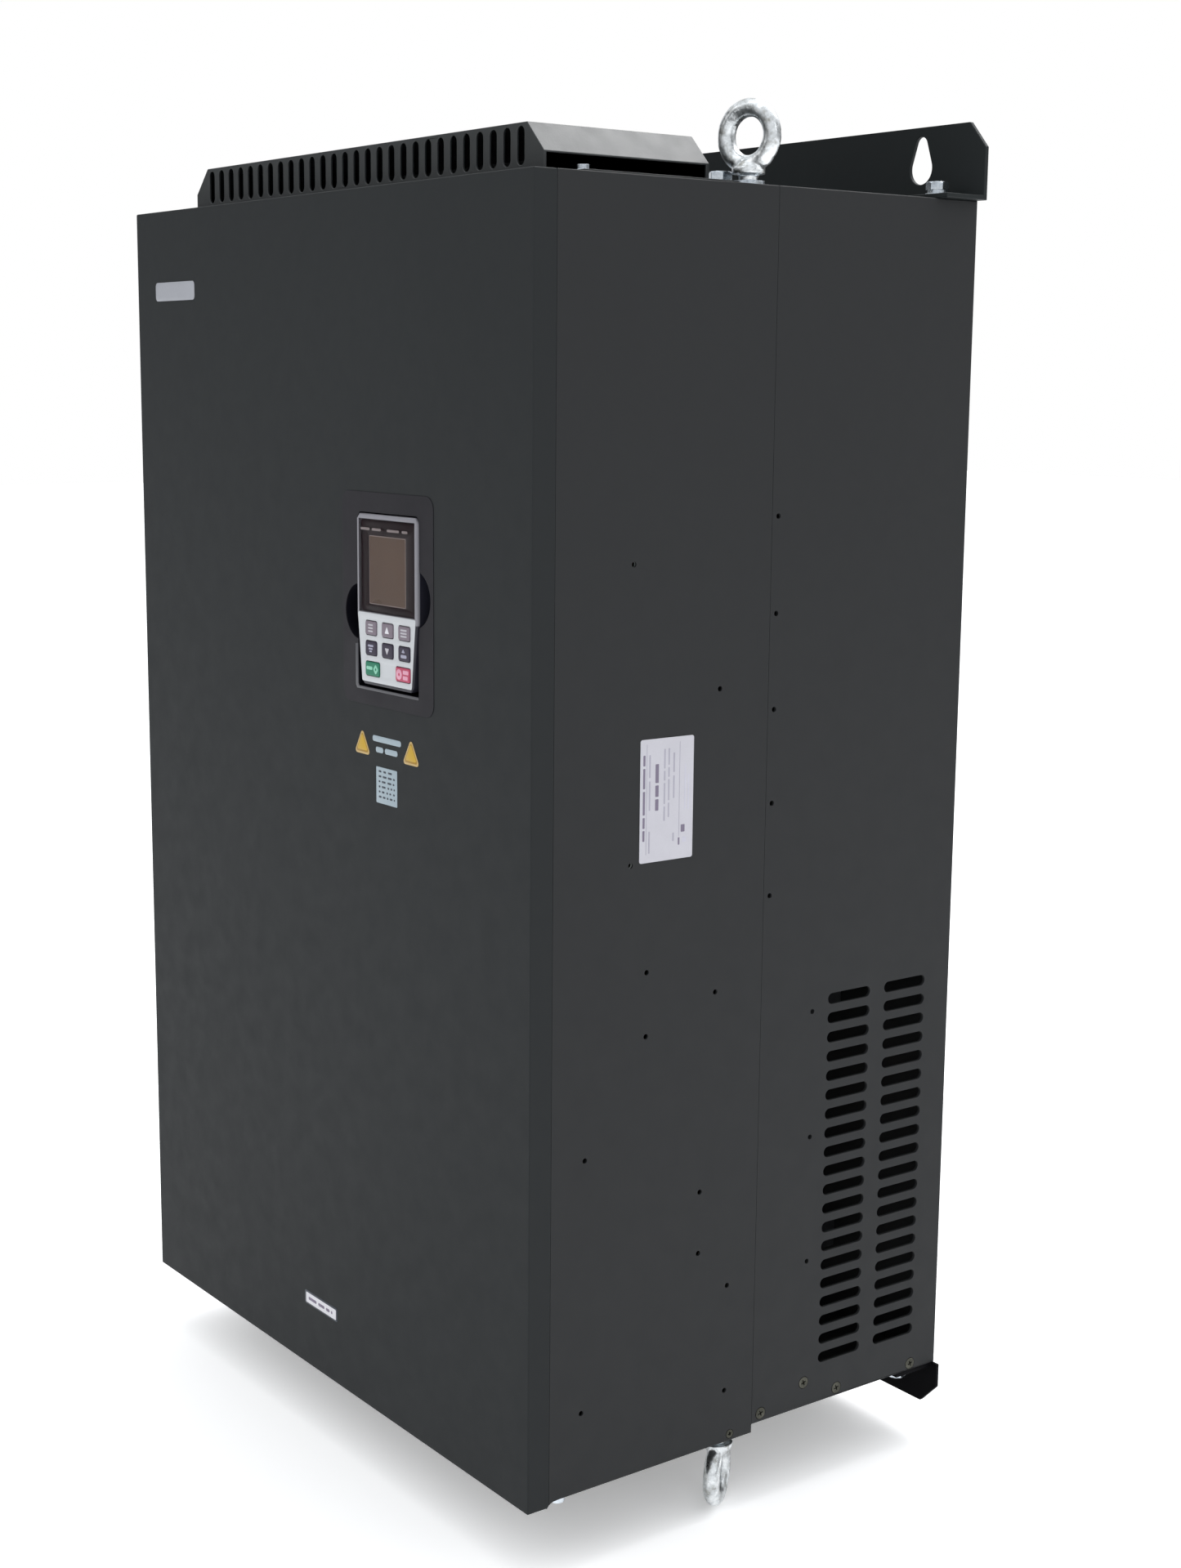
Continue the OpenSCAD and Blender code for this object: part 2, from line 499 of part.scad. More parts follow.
module dc_busbars() color([0.8, 0.55, 0.35]) {
  // laminated pair over the capacitors, the plus sheet in front
  union() {
    bx(-128, 128, py - 124, py - 122, -236, -66);
    bx(-128, 128, py - 124, ry - 36, -68, -66);
    bx(-134, 134, ry - 38, ry - 36, -68, 42);
  }
  union() {
    bx(-128, 128, py - 128, py - 126, -236, -60);
    bx(-128, 128, py - 128, ry - 40, -62, -60);
    bx(-134, 134, ry - 42, ry - 40, -62, 74);
    for (x = ig_x) bx(x - 10, x + 10, ry - 42 + eps, ry - 36, 62, 72);
  }
}
bus_in = [-155, -190, -225]; bus_out = [155, 190, 225];
bus_y = ry - 40; trm_z = -325;
// phase i: riser beside the capacitors, crossbar at its own height, drop to its module
module input_busbars() color([0.82, 0.57, 0.36]) for (i = [0:2]) difference() {
  zt = 250 + i * 22;
  xr = rf_x[i] - 25;
  union() {
    bx(bus_in[i] - 11, bus_in[i] + 11, bus_y, bus_y + 4, trm_z - 14, zt);
    bx(bus_in[i] - 11, xr + 9, bus_y, bus_y + 4, zt - 18, zt);
    bx(xr - 9, xr + 9, bus_y, bus_y + 4, 212, zt);
    bx(xr - 9, xr + 9, bus_y + 4 - eps, ry - 34, 213, 229);
  }
  yc(bus_in[i], bus_y - 1, bus_y + 5, trm_z, 5.4);
}
out_z = [150, 184, 204];
module output_busbars() color([0.82, 0.57, 0.36]) for (i = [0:2]) difference() {
  xo = ig_x[2 - i] + 25;
  union() {
    bx(bus_out[i] - 11, bus_out[i] + 11, bus_y, bus_y + 4, trm_z - 14, out_z[i]);
    bx(xo - 10, bus_out[i] + 11, bus_y, bus_y + 4, out_z[i] - 16, out_z[i]);
    bx(xo - 10, xo + 10, bus_y, bus_y + 4, 134, out_z[i]);
  }
  yc(bus_out[i], bus_y - 1, bus_y + 5, trm_z, 5.4);
}
module current_sensors() color([0.1, 0.12, 0.3]) for (x = bus_out) difference() {
  bx(x - 16.5, x + 16.5, bus_y - 18, py, -262, -234);
  bx(x - 12.5, x + 12.5, bus_y - 3, bus_y + 7, -263, -233);
}
module terminal_blocks() color([0.75, 0.72, 0.62]) both() difference() {
  bx(135, 244, bus_y + 4, py, -350, -302);
  for (x = bus_out) yc(x, bus_y + 3, bus_y + 24, trm_z, 5.2);
  for (x = [172.5, 207.5]) bx(x - 1.5, x + 1.5, bus_y + 3, bus_y + 14, -351, -301);
}
module terminal_hardware() color([0.75, 0.76, 0.7]) for (x = concat(bus_in, bus_out)) translate([x, bus_y, trm_z]) rotate([90, 0, 0]) union() {
  translate([0, 0, -23]) cylinder(h = 50, r = 4.95, $fn = 32);
  cylinder(h = 2, r = 9.5, $fn = 48);
  translate([0, 0, 2 - eps]) cylinder(h = 8, r = 9.2, $fn = 6);
}

// ---------- control section ----------
bt_y = -306; bt_z0 = -58; bt_z1 = 218;
module board_tray() color([0.7, 0.71, 0.7]) difference() {
  union() {
    bx(-hw + shell_t + 0.1, hw - shell_t - 0.1, bt_y, bt_y + 1.5, bt_z0, bt_z1);
    both() bx(hw - shell_t - 1.6, hw - shell_t - 0.1, bt_y + 1, -262, bt_z0, bt_z1);
  }
  both() for (z = [177.6, -3.4]) xc(hw - 5, hw, -275.6, z, 1.6);
  both() bx(190, 236, bt_y - 1, bt_y + 3, 20, 140);
  bx(-30, 30, bt_y - 1, bt_y + 3, 180, 205);
}
module control_board() color([0.05, 0.25, 0.13]) difference() {
  union() {
    bx(-150, 150, bt_y - 8, bt_y - 6.4, -45, 175);
    for (x = [-144, 144], z = [-39, 169]) yc(x, bt_y - 6.4 - eps, bt_y, z, 3);
  }
  for (x = [-100, 100], z = [60]) yc(x, bt_y - 9, bt_y - 5, z, 2);
}
module board_components() color([0.15, 0.35, 0.2]) {
  // control terminal strips
  for (x = [-120, -45, 30]) difference() {
    bx(x, x + 66, bt_y - 20, bt_y - 8, -43, -29);
    for (i = [0:10]) yc(x + 5.5 + i * 5.5, bt_y - 21, bt_y - 18, -36, 1.8);
  }
  bx(-40, -12, bt_y - 10.5, bt_y - 8, 40, 68);
  bx(20, 34, bt_y - 10, bt_y - 8, 60, 74);
  for (p = [[70, 20], [88, 20], [106, 20], [-80, 130], [-98, 130]]) yc(p[0], bt_y - 18, bt_y - 8, p[1], 5);
  bx(-130, -100, bt_y - 22, bt_y - 8, 10, 50);
  bx(60, 120, bt_y - 16, bt_y - 8, 148, 160);
  bx(-8, 30, bt_y - 14, bt_y - 8, 120, 128);
}
module power_board() color([0.08, 0.2, 0.35]) union() {
  bx(-150, 150, -262, -260.4, -20, 200);
  for (x = [-144, 144], z = [-14, 194]) yc(x, bt_y + 1.5, -262 + eps, z, 3);
  bx(-120, -60, -260.4 - eps, -232, 90, 140);
  for (x = [-20, 12, 44]) yc(x, -260.4 - eps, -235, 170, 9);
  bx(70, 130, -260.4 - eps, -240, 40, 90);
}

front_cover();
cover_labels();
keypad_tray();
keypad_housing();
keypad_window();
lcd_module();
key_menu();
key_up();
key_data();
key_quick();
key_down();
key_shift();
key_run();
key_stop();
side_left();
side_right();
top_plate();
bottom_plate();
chassis_left();
chassis_right();
chassis_top();
chassis_bottom();
rear_panel();
partition();
vent_hood();
wall_bracket_top();
wall_bracket_bottom();
hex_bolts();
spring_washers();
flat_washers();
eye_bolts_top();
eye_bolts_bottom();
lifting_plates();
hood_screws();
side_screws();
cover_screws();
nameplate();
cable_grommets();
heatsink();
igbt_modules();
rectifier_modules();
dc_capacitors();
dc_busbars();
input_busbars();
output_busbars();
current_sensors();
terminal_blocks();
terminal_hardware();
board_tray();
control_board();
board_components();
power_board();
dc_reactor_core();
dc_reactor_coils();
fan_frames();
fan_guards();
fan_rotor_left();
fan_rotor_centre();
fan_rotor_right();
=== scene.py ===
import math
import random

import bmesh
import bpy
from mathutils import Matrix, Vector, noise


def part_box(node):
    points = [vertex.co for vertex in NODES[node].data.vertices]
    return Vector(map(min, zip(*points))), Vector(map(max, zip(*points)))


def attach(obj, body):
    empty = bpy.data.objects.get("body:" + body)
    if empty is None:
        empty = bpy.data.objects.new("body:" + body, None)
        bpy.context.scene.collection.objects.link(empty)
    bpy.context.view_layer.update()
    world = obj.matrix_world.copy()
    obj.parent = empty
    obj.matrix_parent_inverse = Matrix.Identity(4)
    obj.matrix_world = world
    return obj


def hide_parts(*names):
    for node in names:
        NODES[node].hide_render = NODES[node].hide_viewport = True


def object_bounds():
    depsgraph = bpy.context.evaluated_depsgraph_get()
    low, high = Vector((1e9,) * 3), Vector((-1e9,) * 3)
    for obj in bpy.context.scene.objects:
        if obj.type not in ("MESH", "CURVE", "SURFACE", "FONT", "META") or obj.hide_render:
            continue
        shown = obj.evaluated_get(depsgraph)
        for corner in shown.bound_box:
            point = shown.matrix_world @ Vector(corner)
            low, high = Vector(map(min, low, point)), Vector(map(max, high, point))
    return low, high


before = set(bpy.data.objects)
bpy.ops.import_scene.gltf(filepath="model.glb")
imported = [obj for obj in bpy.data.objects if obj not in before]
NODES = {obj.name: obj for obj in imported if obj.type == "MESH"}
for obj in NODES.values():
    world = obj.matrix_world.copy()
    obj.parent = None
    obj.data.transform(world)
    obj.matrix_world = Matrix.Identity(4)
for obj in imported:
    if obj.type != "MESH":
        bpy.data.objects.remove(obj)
cad_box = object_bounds()
MM = 0.001
scene = bpy.context.scene

# ------------------------------------------------------------------ camera
cam_data = bpy.data.cameras.new("camera")
cam_data.sensor_width = 36.0
cam_data.lens = 2769.87 * 36.0 / 1919.0
cam_data.clip_start = 0.05
cam_data.clip_end = 60.0
cam = bpy.data.objects.new("camera", cam_data)
scene.collection.objects.link(cam)
R_ = Vector((0.59721, 0.80203, 0.00935)).normalized()
D_ = Vector((0.14463, -0.09622, -0.9848)).normalized()
F_ = R_.cross(D_).normalized()
D_ = F_.cross(R_).normalized()
m = Matrix.Identity(4)
for i in range(3):
    m[i][0], m[i][1], m[i][2] = R_[i], -D_[i], -F_[i]
m.translation = Vector((1.30219, -1.09230, 0.28106))
cam.matrix_world = m
scene.camera = cam


# --------------------------------------------------------------- materials
def lin(c):
    out = []
    for v in c:
        v = v / 255.0
        out.append(v / 12.92 if v <= 0.04045 else ((v + 0.055) / 1.055) ** 2.4)
    return out


def shift(c, k):
    return [min(1.0, max(0.0, v * k)) for v in c]


class Mat:
    """A Principled material with object-space procedural detail."""

    def __init__(self, name, metal=0.0, spec=0.5, coat=0.0, coat_rough=0.1, alpha=1.0):
        self.m = bpy.data.materials.new(name)
        self.m.use_nodes = True
        self.nt = self.m.node_tree
        self.b = self.nt.nodes["Principled BSDF"]
        self.b.inputs["Metallic"].default_value = metal
        self.b.inputs["Specular IOR Level"].default_value = spec
        self.b.inputs["Coat Weight"].default_value = coat
        self.b.inputs["Coat Roughness"].default_value = coat_rough
        self.b.inputs["Alpha"].default_value = alpha
        self.tc = self.n("ShaderNodeTexCoord")
        self.height = None

    def n(self, kind, **kw):
        node = self.nt.nodes.new(kind)
        for k, v in kw.items():
            setattr(node, k, v)
        return node

    def link(self, a, b):
        self.nt.links.new(a, b)

    def coords(self, stretch=(1, 1, 1)):
        mp = self.n("ShaderNodeMapping")
        mp.inputs["Scale"].default_value = stretch
        self.link(self.tc.outputs["Object"], mp.inputs["Vector"])
        return mp.outputs["Vector"]

    def noise(self, scale, detail=4.0, rough=0.55, stretch=(1, 1, 1)):
        t = self.n("ShaderNodeTexNoise")
        t.inputs["Scale"].default_value = scale
        t.inputs["Detail"].default_value = detail
        t.inputs["Roughness"].default_value = rough
        self.link(self.coords(stretch), t.inputs["Vector"])
        return t.outputs["Fac"]

    def ramp(self, fac, stops, mode="LINEAR"):
        r = self.n("ShaderNodeValToRGB")
        r.color_ramp.interpolation = mode
        el = r.color_ramp.elements
        while len(el) < len(stops):
            el.new(0.5)
        for e, (p, c) in zip(el, stops):
            e.position = p
            e.color = (*c[:3], 1.0)
        self.link(fac, r.inputs["Fac"])
        return r.outputs["Color"]

    def math(self, op, a, b=None, c=None):
        x = self.n("ShaderNodeMath", operation=op)
        for i, v in enumerate((a, b, c)):
            if v is None:
                continue
            if isinstance(v, (int, float)):
                x.inputs[i].default_value = v
            else:
                self.link(v, x.inputs[i])
        return x.outputs["Value"]

    def mix(self, fac, a, b):
        x = self.n("ShaderNodeMix", data_type="RGBA")
        self.link(fac, x.inputs["Factor"])
        for i, v in ((6, a), (7, b)):
            if isinstance(v, (list, tuple)):
                x.inputs[i].default_value = (*v[:3], 1.0)
            else:
                self.link(v, x.inputs[i])
        return x.outputs[2]

    def range(self, v, lo, hi, a=0.3, b=0.7):
        r = self.n("ShaderNodeMapRange")
        r.inputs["From Min"].default_value = a
        r.inputs["From Max"].default_value = b
        r.inputs["To Min"].default_value = lo
        r.inputs["To Max"].default_value = hi
        self.link(v, r.inputs["Value"])
        return r.outputs["Result"]

    def colour(self, socket):
        self.link(socket, self.b.inputs["Base Color"])

    def rough(self, lo, hi, scale=30.0, stretch=(1, 1, 1)):
        self.link(self.range(self.noise(scale, 3.0, 0.6, stretch), lo, hi), self.b.inputs["Roughness"])

    def bump(self, height, strength=0.3, dist=0.1):
        bp = self.n("ShaderNodeBump")
        bp.inputs["Strength"].default_value = strength
        bp.inputs["Distance"].default_value = dist * MM
        self.link(height, bp.inputs["Height"])
        if self.height is not None:
            self.link(self.height, bp.inputs["Normal"])
        self.height = bp.outputs["Normal"]
        self.link(self.height, self.b.inputs["Normal"])


def powder(name, rgb, spec=0.14, tone=0.02, rough=(0.50, 0.60), orange=0.12, grit=0.12, fleckiness=0.10):
    """Fine-textured powder coat: orange-peel plus fine grit, with a faint drift of tone."""
    k = Mat(name, spec=spec)
    c = lin(rgb)
    drift = k.noise(5.0, 3.0, 0.5)
    fleck = k.noise(2600.0, 2.0, 0.5)
    base = k.ramp(drift, [(0.30, shift(c, 1 - tone)), (0.70, shift(c, 1 + tone))])
    f = k.range(fleck, 0.0, fleckiness, 0.50, 0.75)
    k.colour(k.mix(f, base, shift(c, 1.7)))
    k.rough(rough[0], rough[1], 60.0)
    k.bump(k.noise(700.0, 2.0, 0.5), orange, 0.06)
    k.bump(k.noise(2400.0, 2.0, 0.6), grit, 0.03)
    return k.m


def moulded(name, rgb, spec=0.45, tone=0.05, rough=(0.38, 0.5), grit=0.2, coat=0.0, scale=9.0):
    """Moulded plastic: very fine spark-erosion grain, slight tone drift, rubbed patches."""
    k = Mat(name, spec=spec, coat=coat, coat_rough=0.15)
    c = lin(rgb)
    k.colour(k.ramp(k.noise(scale, 4.0, 0.6), [(0.28, shift(c, 1 - tone)), (0.72, shift(c, 1 + tone))]))
    k.rough(rough[0], rough[1], 45.0)
    k.bump(k.noise(1900.0, 2.0, 0.55), grit, 0.03)
    return k.m


def metal(name, dark, mid, light, rough=(0.2, 0.34), stretch=(1, 1, 1), scale=60.0, dents=0.3, dent_scale=180.0, dist=0.25, fine=0.12):
    """Plated or bare metal: blotchy plating tone, uneven polish, small hammer marks."""
    k = Mat(name, metal=1.0)
    k.colour(k.ramp(k.noise(scale, 5.0, 0.65, stretch), [(0.30, lin(dark)), (0.50, lin(mid)), (0.68, lin(light))]))
    k.rough(rough[0], rough[1], scale * 1.5, stretch)
    k.bump(k.noise(dent_scale, 3.0, 0.5, stretch), dents, dist)
    k.bump(k.noise(1500.0, 2.0, 0.5, stretch), fine, 0.02)
    return k.m


M = {}
M["cover_paint"] = powder("cover_paint", (41, 43, 44), spec=0.07)
M["shell_paint"] = powder("shell_paint", (41, 42, 43), spec=0.14)
M["hood_paint"] = powder("hood_paint", (41, 44, 45), spec=0.5, rough=(0.36, 0.44), tone=0.05, orange=0.5, grit=0.35, fleckiness=0.3)
M["bracket_paint"] = powder("bracket_paint", (28, 32, 33), spec=0.2)
# lower bracket: the bracket paint darkened to near black as painted shade beneath the box
M["bracket_low_painted_shade"] = powder("bracket_low_painted_shade", (7, 7, 9), spec=0.04)
M["key_field"] = moulded("key_field", (184, 187, 190), spec=0.3, rough=(0.40, 0.5), grit=0.1)
M["key_mauve"] = moulded("key_mauve", (112, 102, 112), spec=0.35, rough=(0.45, 0.55))
M["key_navy"] = moulded("key_navy", (44, 38, 54), spec=0.3, rough=(0.45, 0.55))
M["key_green"] = moulded("key_green", (26, 108, 82), spec=0.35, rough=(0.42, 0.52))
M["key_red"] = moulded("key_red", (168, 64, 90), spec=0.35, rough=(0.42, 0.52))
M["rubber"] = moulded("rubber", (22, 22, 22), spec=0.3, rough=(0.6, 0.75), grit=0.5)
M["fan_black"] = moulded("fan_black", (30, 30, 32), spec=0.45, rough=(0.36, 0.48), grit=0.3)
M["module_case"] = moulded("module_case", (205, 200, 186), spec=0.4, rough=(0.4, 0.52), grit=0.35)
M["module_dark"] = moulded("module_dark", (48, 48, 50), spec=0.4, rough=(0.4, 0.52), grit=0.35)
M["sensor"] = moulded("sensor", (26, 34, 88), spec=0.45, rough=(0.35, 0.45))
M["terminal"] = moulded("terminal", (196, 186, 158), spec=0.4, rough=(0.4, 0.5), grit=0.35)

# zinc plate: eye bolts (forged), fasteners (turned)
M["zinc_forged"] = metal("zinc_forged", (142, 142, 137), (206, 210, 212), (240, 242, 243), rough=(0.24, 0.38), scale=150.0, dents=0.5, dent_scale=260.0, dist=0.4, fine=0.2)
M["zinc"] = metal("zinc", (150, 156, 162), (196, 204, 212), (226, 232, 236), rough=(0.16, 0.28), scale=120.0, dents=0.25, dent_scale=320.0, dist=0.12)
M["galv"] = metal("galv", (120, 124, 124), (150, 153, 152), (178, 180, 178), rough=(0.34, 0.5), scale=34.0, dents=0.12, dent_scale=60.0, dist=0.1)
M["dark_screw"] = metal("dark_screw", (52, 52, 47), (70, 70, 63), (88, 87, 80), rough=(0.34, 0.48), scale=160.0, dents=0.2, dent_scale=400.0, dist=0.08)
M["fins"] = metal("fins", (150, 152, 154), (184, 186, 188), (208, 210, 212), rough=(0.28, 0.42), stretch=(1, 1, 0.04), scale=220.0, dents=0.3, dent_scale=420.0, dist=0.06)
M["copper"] = metal("copper", (148, 84, 52), (188, 118, 80), (214, 150, 108), rough=(0.22, 0.4), scale=26.0, dents=0.1, dent_scale=90.0, dist=0.08)


def split_painted_shade(name, axis, level, below, above, spec, rough, grit, band=0.0004, back=None):
    """Moulded part in two colours, split at a level along one axis (metres); the darker colour is painted shade."""
    k = Mat(name, spec=spec)
    sp = k.n("ShaderNodeSeparateXYZ")
    k.link(k.tc.outputs["Object"], sp.inputs[0])
    f = k.range(sp.outputs[axis], 0.0, 1.0, level - band, level + band)
    if back is not None:
        f = k.math("MULTIPLY", f, k.range(sp.outputs["Y"], 1.0, 0.0, back - band, back + band))
    t = k.noise(9.0, 4.0, 0.6)
    a, b = lin(below), lin(above)
    lo = k.ramp(t, [(0.28, shift(a, 0.96)), (0.72, shift(a, 1.04))])
    hi = k.ramp(t, [(0.28, shift(b, 0.96)), (0.72, shift(b, 1.04))])
    k.colour(k.mix(f, lo, hi))
    k.rough(rough[0], rough[1], 45.0)
    k.bump(k.noise(1900.0, 2.0, 0.55), grit, 0.03)
    return k.m


# tray: grey face, its recess painted near-black as painted shade; keypad body: silver shell, its lower half and the
# walls behind its front painted dark as painted shade
M["bezel"] = split_painted_shade("bezel", "Y", -0.3487, (33, 32, 36), (12, 12, 19), 0.12, (0.44, 0.54), 0.25)
M["keypad_grey"] = split_painted_shade("keypad_grey", "Z", 0.1345, (34, 34, 43), (126, 125, 131), 0.3, (0.32, 0.44), 0.2, back=-0.3486)
# pocket lip: lighter grey as a painted highlight where the rim of the keypad pocket catches the light
M["lip_highlight"] = moulded("lip_highlight", (74, 74, 78), spec=0.3, rough=(0.36, 0.46), grit=0.2)


def capacitor():
    k = Mat("can", spec=0.5, coat=0.25, coat_rough=0.12)
    g = k.n("ShaderNodeNewGeometry")
    s = k.n("ShaderNodeSeparateXYZ")
    k.link(g.outputs["Normal"], s.inputs[0])
    top = k.math("GREATER_THAN", k.math("MULTIPLY", s.outputs["Y"], -1.0), 0.75)
    sleeve = k.ramp(k.noise(30.0, 3.0), [(0.3, lin((20, 26, 44))), (0.7, lin((30, 38, 62)))])
    alu = k.ramp(k.noise(90.0, 4.0), [(0.3, lin((150, 152, 154))), (0.7, lin((196, 198, 200)))])
    k.colour(k.mix(top, sleeve, alu))
    k.link(top, k.b.inputs["Metallic"])
    k.rough(0.24, 0.4, 70.0)
    k.bump(k.noise(500.0, 2.0), 0.2, 0.05)
    return k.m


def board(name, mask, track):
    """Solder mask over copper tracks, with a sparkle of solder dots."""
    k = Mat(name, spec=0.5, coat=0.4, coat_rough=0.12)
    v = k.n("ShaderNodeTexVoronoi", feature="DISTANCE_TO_EDGE", distance="CHEBYCHEV")
    v.inputs["Scale"].default_value = 110.0
    k.link(k.coords((1, 0.2, 1)), v.inputs["Vector"])
    line = k.range(v.outputs["Distance"], 1.0, 0.0, 0.03, 0.10)
    v2 = k.n("ShaderNodeTexVoronoi", feature="F1")
    v2.inputs["Scale"].default_value = 260.0
    k.link(k.coords((1, 0.2, 1)), v2.inputs["Vector"])
    dot = k.range(v2.outputs["Distance"], 1.0, 0.0, 0.10, 0.16)
    base = k.ramp(k.noise(20.0, 3.0), [(0.3, lin(mask)), (0.7, shift(lin(mask), 1.25))])
    c1 = k.mix(line, base, lin(track))
    k.colour(k.mix(dot, c1, lin((176, 178, 176))))
    k.link(k.range(dot, 0.0, 0.7, 0.0, 1.0), k.b.inputs["Metallic"])
    k.rough(0.22, 0.34, 50.0)
    k.bump(line, 0.3, 0.05)
    return k.m


def mixed_parts():
    """Small components: each loose solid takes one of the usual casing colours."""
    k = Mat("parts", spec=0.45)
    g = k.n("ShaderNodeNewGeometry")
    c = k.ramp(
        g.outputs["Random Per Island"],
        [(0.0, lin((24, 24, 26))), (0.34, lin((34, 32, 30))), (0.5, lin((30, 44, 86))), (0.62, lin((180, 176, 160))), (0.74, lin((150, 120, 60))), (0.86, lin((60, 62, 64)))],
        "CONSTANT",
    )
    n = k.range(k.noise(140.0, 3.0), 0.0, 0.3, 0.4, 0.8)
    k.colour(k.mix(n, c, lin((70, 70, 70))))
    k.rough(0.3, 0.5, 80.0)
    k.bump(k.noise(1500.0, 2.0), 0.25, 0.04)
    return k.m


def laminated():
    k = Mat("core", metal=0.6, spec=0.5)
    w = k.n("ShaderNodeTexWave", wave_type="BANDS", bands_direction="Y")
    w.inputs["Scale"].default_value = 320.0
    w.inputs["Distortion"].default_value = 0.4
    k.link(k.tc.outputs["Object"], w.inputs["Vector"])
    c = k.ramp(k.noise(40.0, 4.0), [(0.3, lin((64, 66, 70))), (0.7, lin((96, 98, 100)))])
    k.colour(k.mix(k.range(w.outputs["Fac"], 0.0, 0.5, 0.0, 1.0), c, lin((44, 44, 48))))
    k.rough(0.4, 0.6, 60.0)
    k.bump(w.outputs["Fac"], 0.4, 0.15)
    return k.m


def wound():
    k = Mat("winding", metal=0.7, spec=0.5, coat=0.3, coat_rough=0.2)
    w = k.n("ShaderNodeTexWave", wave_type="BANDS", bands_direction="Z", wave_profile="SIN")
    w.inputs["Scale"].default_value = 110.0
    w.inputs["Distortion"].default_value = 0.3
    k.link(k.tc.outputs["Object"], w.inputs["Vector"])
    c = k.ramp(k.noise(60.0, 4.0), [(0.3, lin((112, 58, 30))), (0.7, lin((168, 96, 54)))])
    k.colour(k.mix(k.range(w.outputs["Fac"], 0.55, 0.0, 0.0, 0.5), c, lin((50, 24, 14))))
    k.rough(0.28, 0.42, 60.0)
    k.bump(w.outputs["Fac"], 0.8, 0.5)
    return k.m


def smoked():
    k = Mat("window", spec=0.04, alpha=0.30)
    k.colour(k.ramp(k.noise(20.0, 2.0), [(0.3, lin((20, 10, 14))), (0.7, lin((26, 14, 18)))]))
    k.rough(0.06, 0.12, 30.0)
    k.bump(k.noise(60.0, 2.0), 0.05, 0.03)
    return k.m


def display():
    """LCD cell: warm grey polariser with a very fine dot matrix."""
    k = Mat("lcd", spec=0.4, coat=0.3, coat_rough=0.08)
    c = k.ramp(k.noise(22.0, 3.0), [(0.3, lin((146, 120, 102))), (0.7, lin((159, 132, 113)))])
    ch = k.n("ShaderNodeTexChecker")
    ch.inputs["Scale"].default_value = 2400.0
    k.link(k.tc.outputs["Object"], ch.inputs["Vector"])
    k.colour(k.mix(k.range(ch.outputs["Fac"], 0.0, 0.08, 0.0, 1.0), c, lin((90, 76, 66))))
    k.rough(0.25, 0.35, 30.0)
    return k.m


def printed(name, rgb, tone=0.05, rough=(0.42, 0.55), spec=0.35):
    """Printed film or ink: paper-like tone drift and slight screen-print mottle."""
    k = Mat(name, spec=spec)
    c = lin(rgb)
    a = k.ramp(k.noise(24.0, 4.0, 0.6), [(0.3, shift(c, 1 - tone)), (0.7, shift(c, 1 + tone))])
    k.colour(k.mix(k.range(k.noise(1400.0, 2.0), 0.0, 0.12, 0.5, 0.75), a, shift(c, 0.7)))
    k.rough(rough[0], rough[1], 60.0)
    k.bump(k.noise(900.0, 2.0), 0.1, 0.02)
    return k.m


M["can"] = capacitor()
M["pcb"] = board("pcb", (16, 78, 44), (40, 118, 70))
M["pcb_blue"] = board("pcb_blue", (22, 56, 104), (44, 88, 140))
M["parts"] = mixed_parts()
M["core"] = laminated()
M["winding"] = wound()
M["window"] = smoked()
M["lcd"] = display()
M["label"] = printed("label", (184, 183, 190))
M["ink_dark"] = printed("ink_dark", (112, 104, 122))
M["ink_mid"] = printed("ink_mid", (158, 156, 168))
M["ink_light"] = printed("ink_light", (184, 183, 195))
M["print"] = printed("print", (146, 160, 168))
M["print_dark"] = printed("print_dark", (48, 54, 64))
M["badge"] = printed("badge", (150, 152, 158))
M["amber"] = printed("amber", (182, 148, 50))
M["amber_rim"] = printed("amber_rim", (178, 152, 100))
M["amber_line"] = printed("amber_line", (146, 112, 30))
M["mask"] = printed("mask", (25, 10, 15), rough=(0.3, 0.4), spec=0.2)
M["lcd_frame"] = printed("lcd_frame", (150, 136, 132))
M["legend"] = printed("legend", (112, 102, 102))
M["icon_pale"] = printed("icon_pale", (172, 170, 176))
M["icon_white"] = printed("icon_white", (206, 205, 210))
M["icon_navy"] = printed("icon_navy", (150, 150, 168))
M["icon_mint"] = printed("icon_mint", (128, 188, 164))
M["icon_pink"] = printed("icon_pink", (206, 148, 168))


# --------------------------------------------------- modifiers on CAD nodes
def gn_strip():
    g = bpy.data.node_groups.new("plain_normals", "GeometryNodeTree")
    g.interface.new_socket("Geometry", in_out="INPUT", socket_type="NodeSocketGeometry")
    g.interface.new_socket("Geometry", in_out="OUTPUT", socket_type="NodeSocketGeometry")
    i, o = g.nodes.new("NodeGroupInput"), g.nodes.new("NodeGroupOutput")
    s = g.nodes.new("GeometryNodeSetMeshNormal")
    s.inputs["Remove Custom"].default_value = True
    g.links.new(i.outputs[0], s.inputs["Mesh"])
    g.links.new(s.outputs[0], o.inputs[0])
    return g


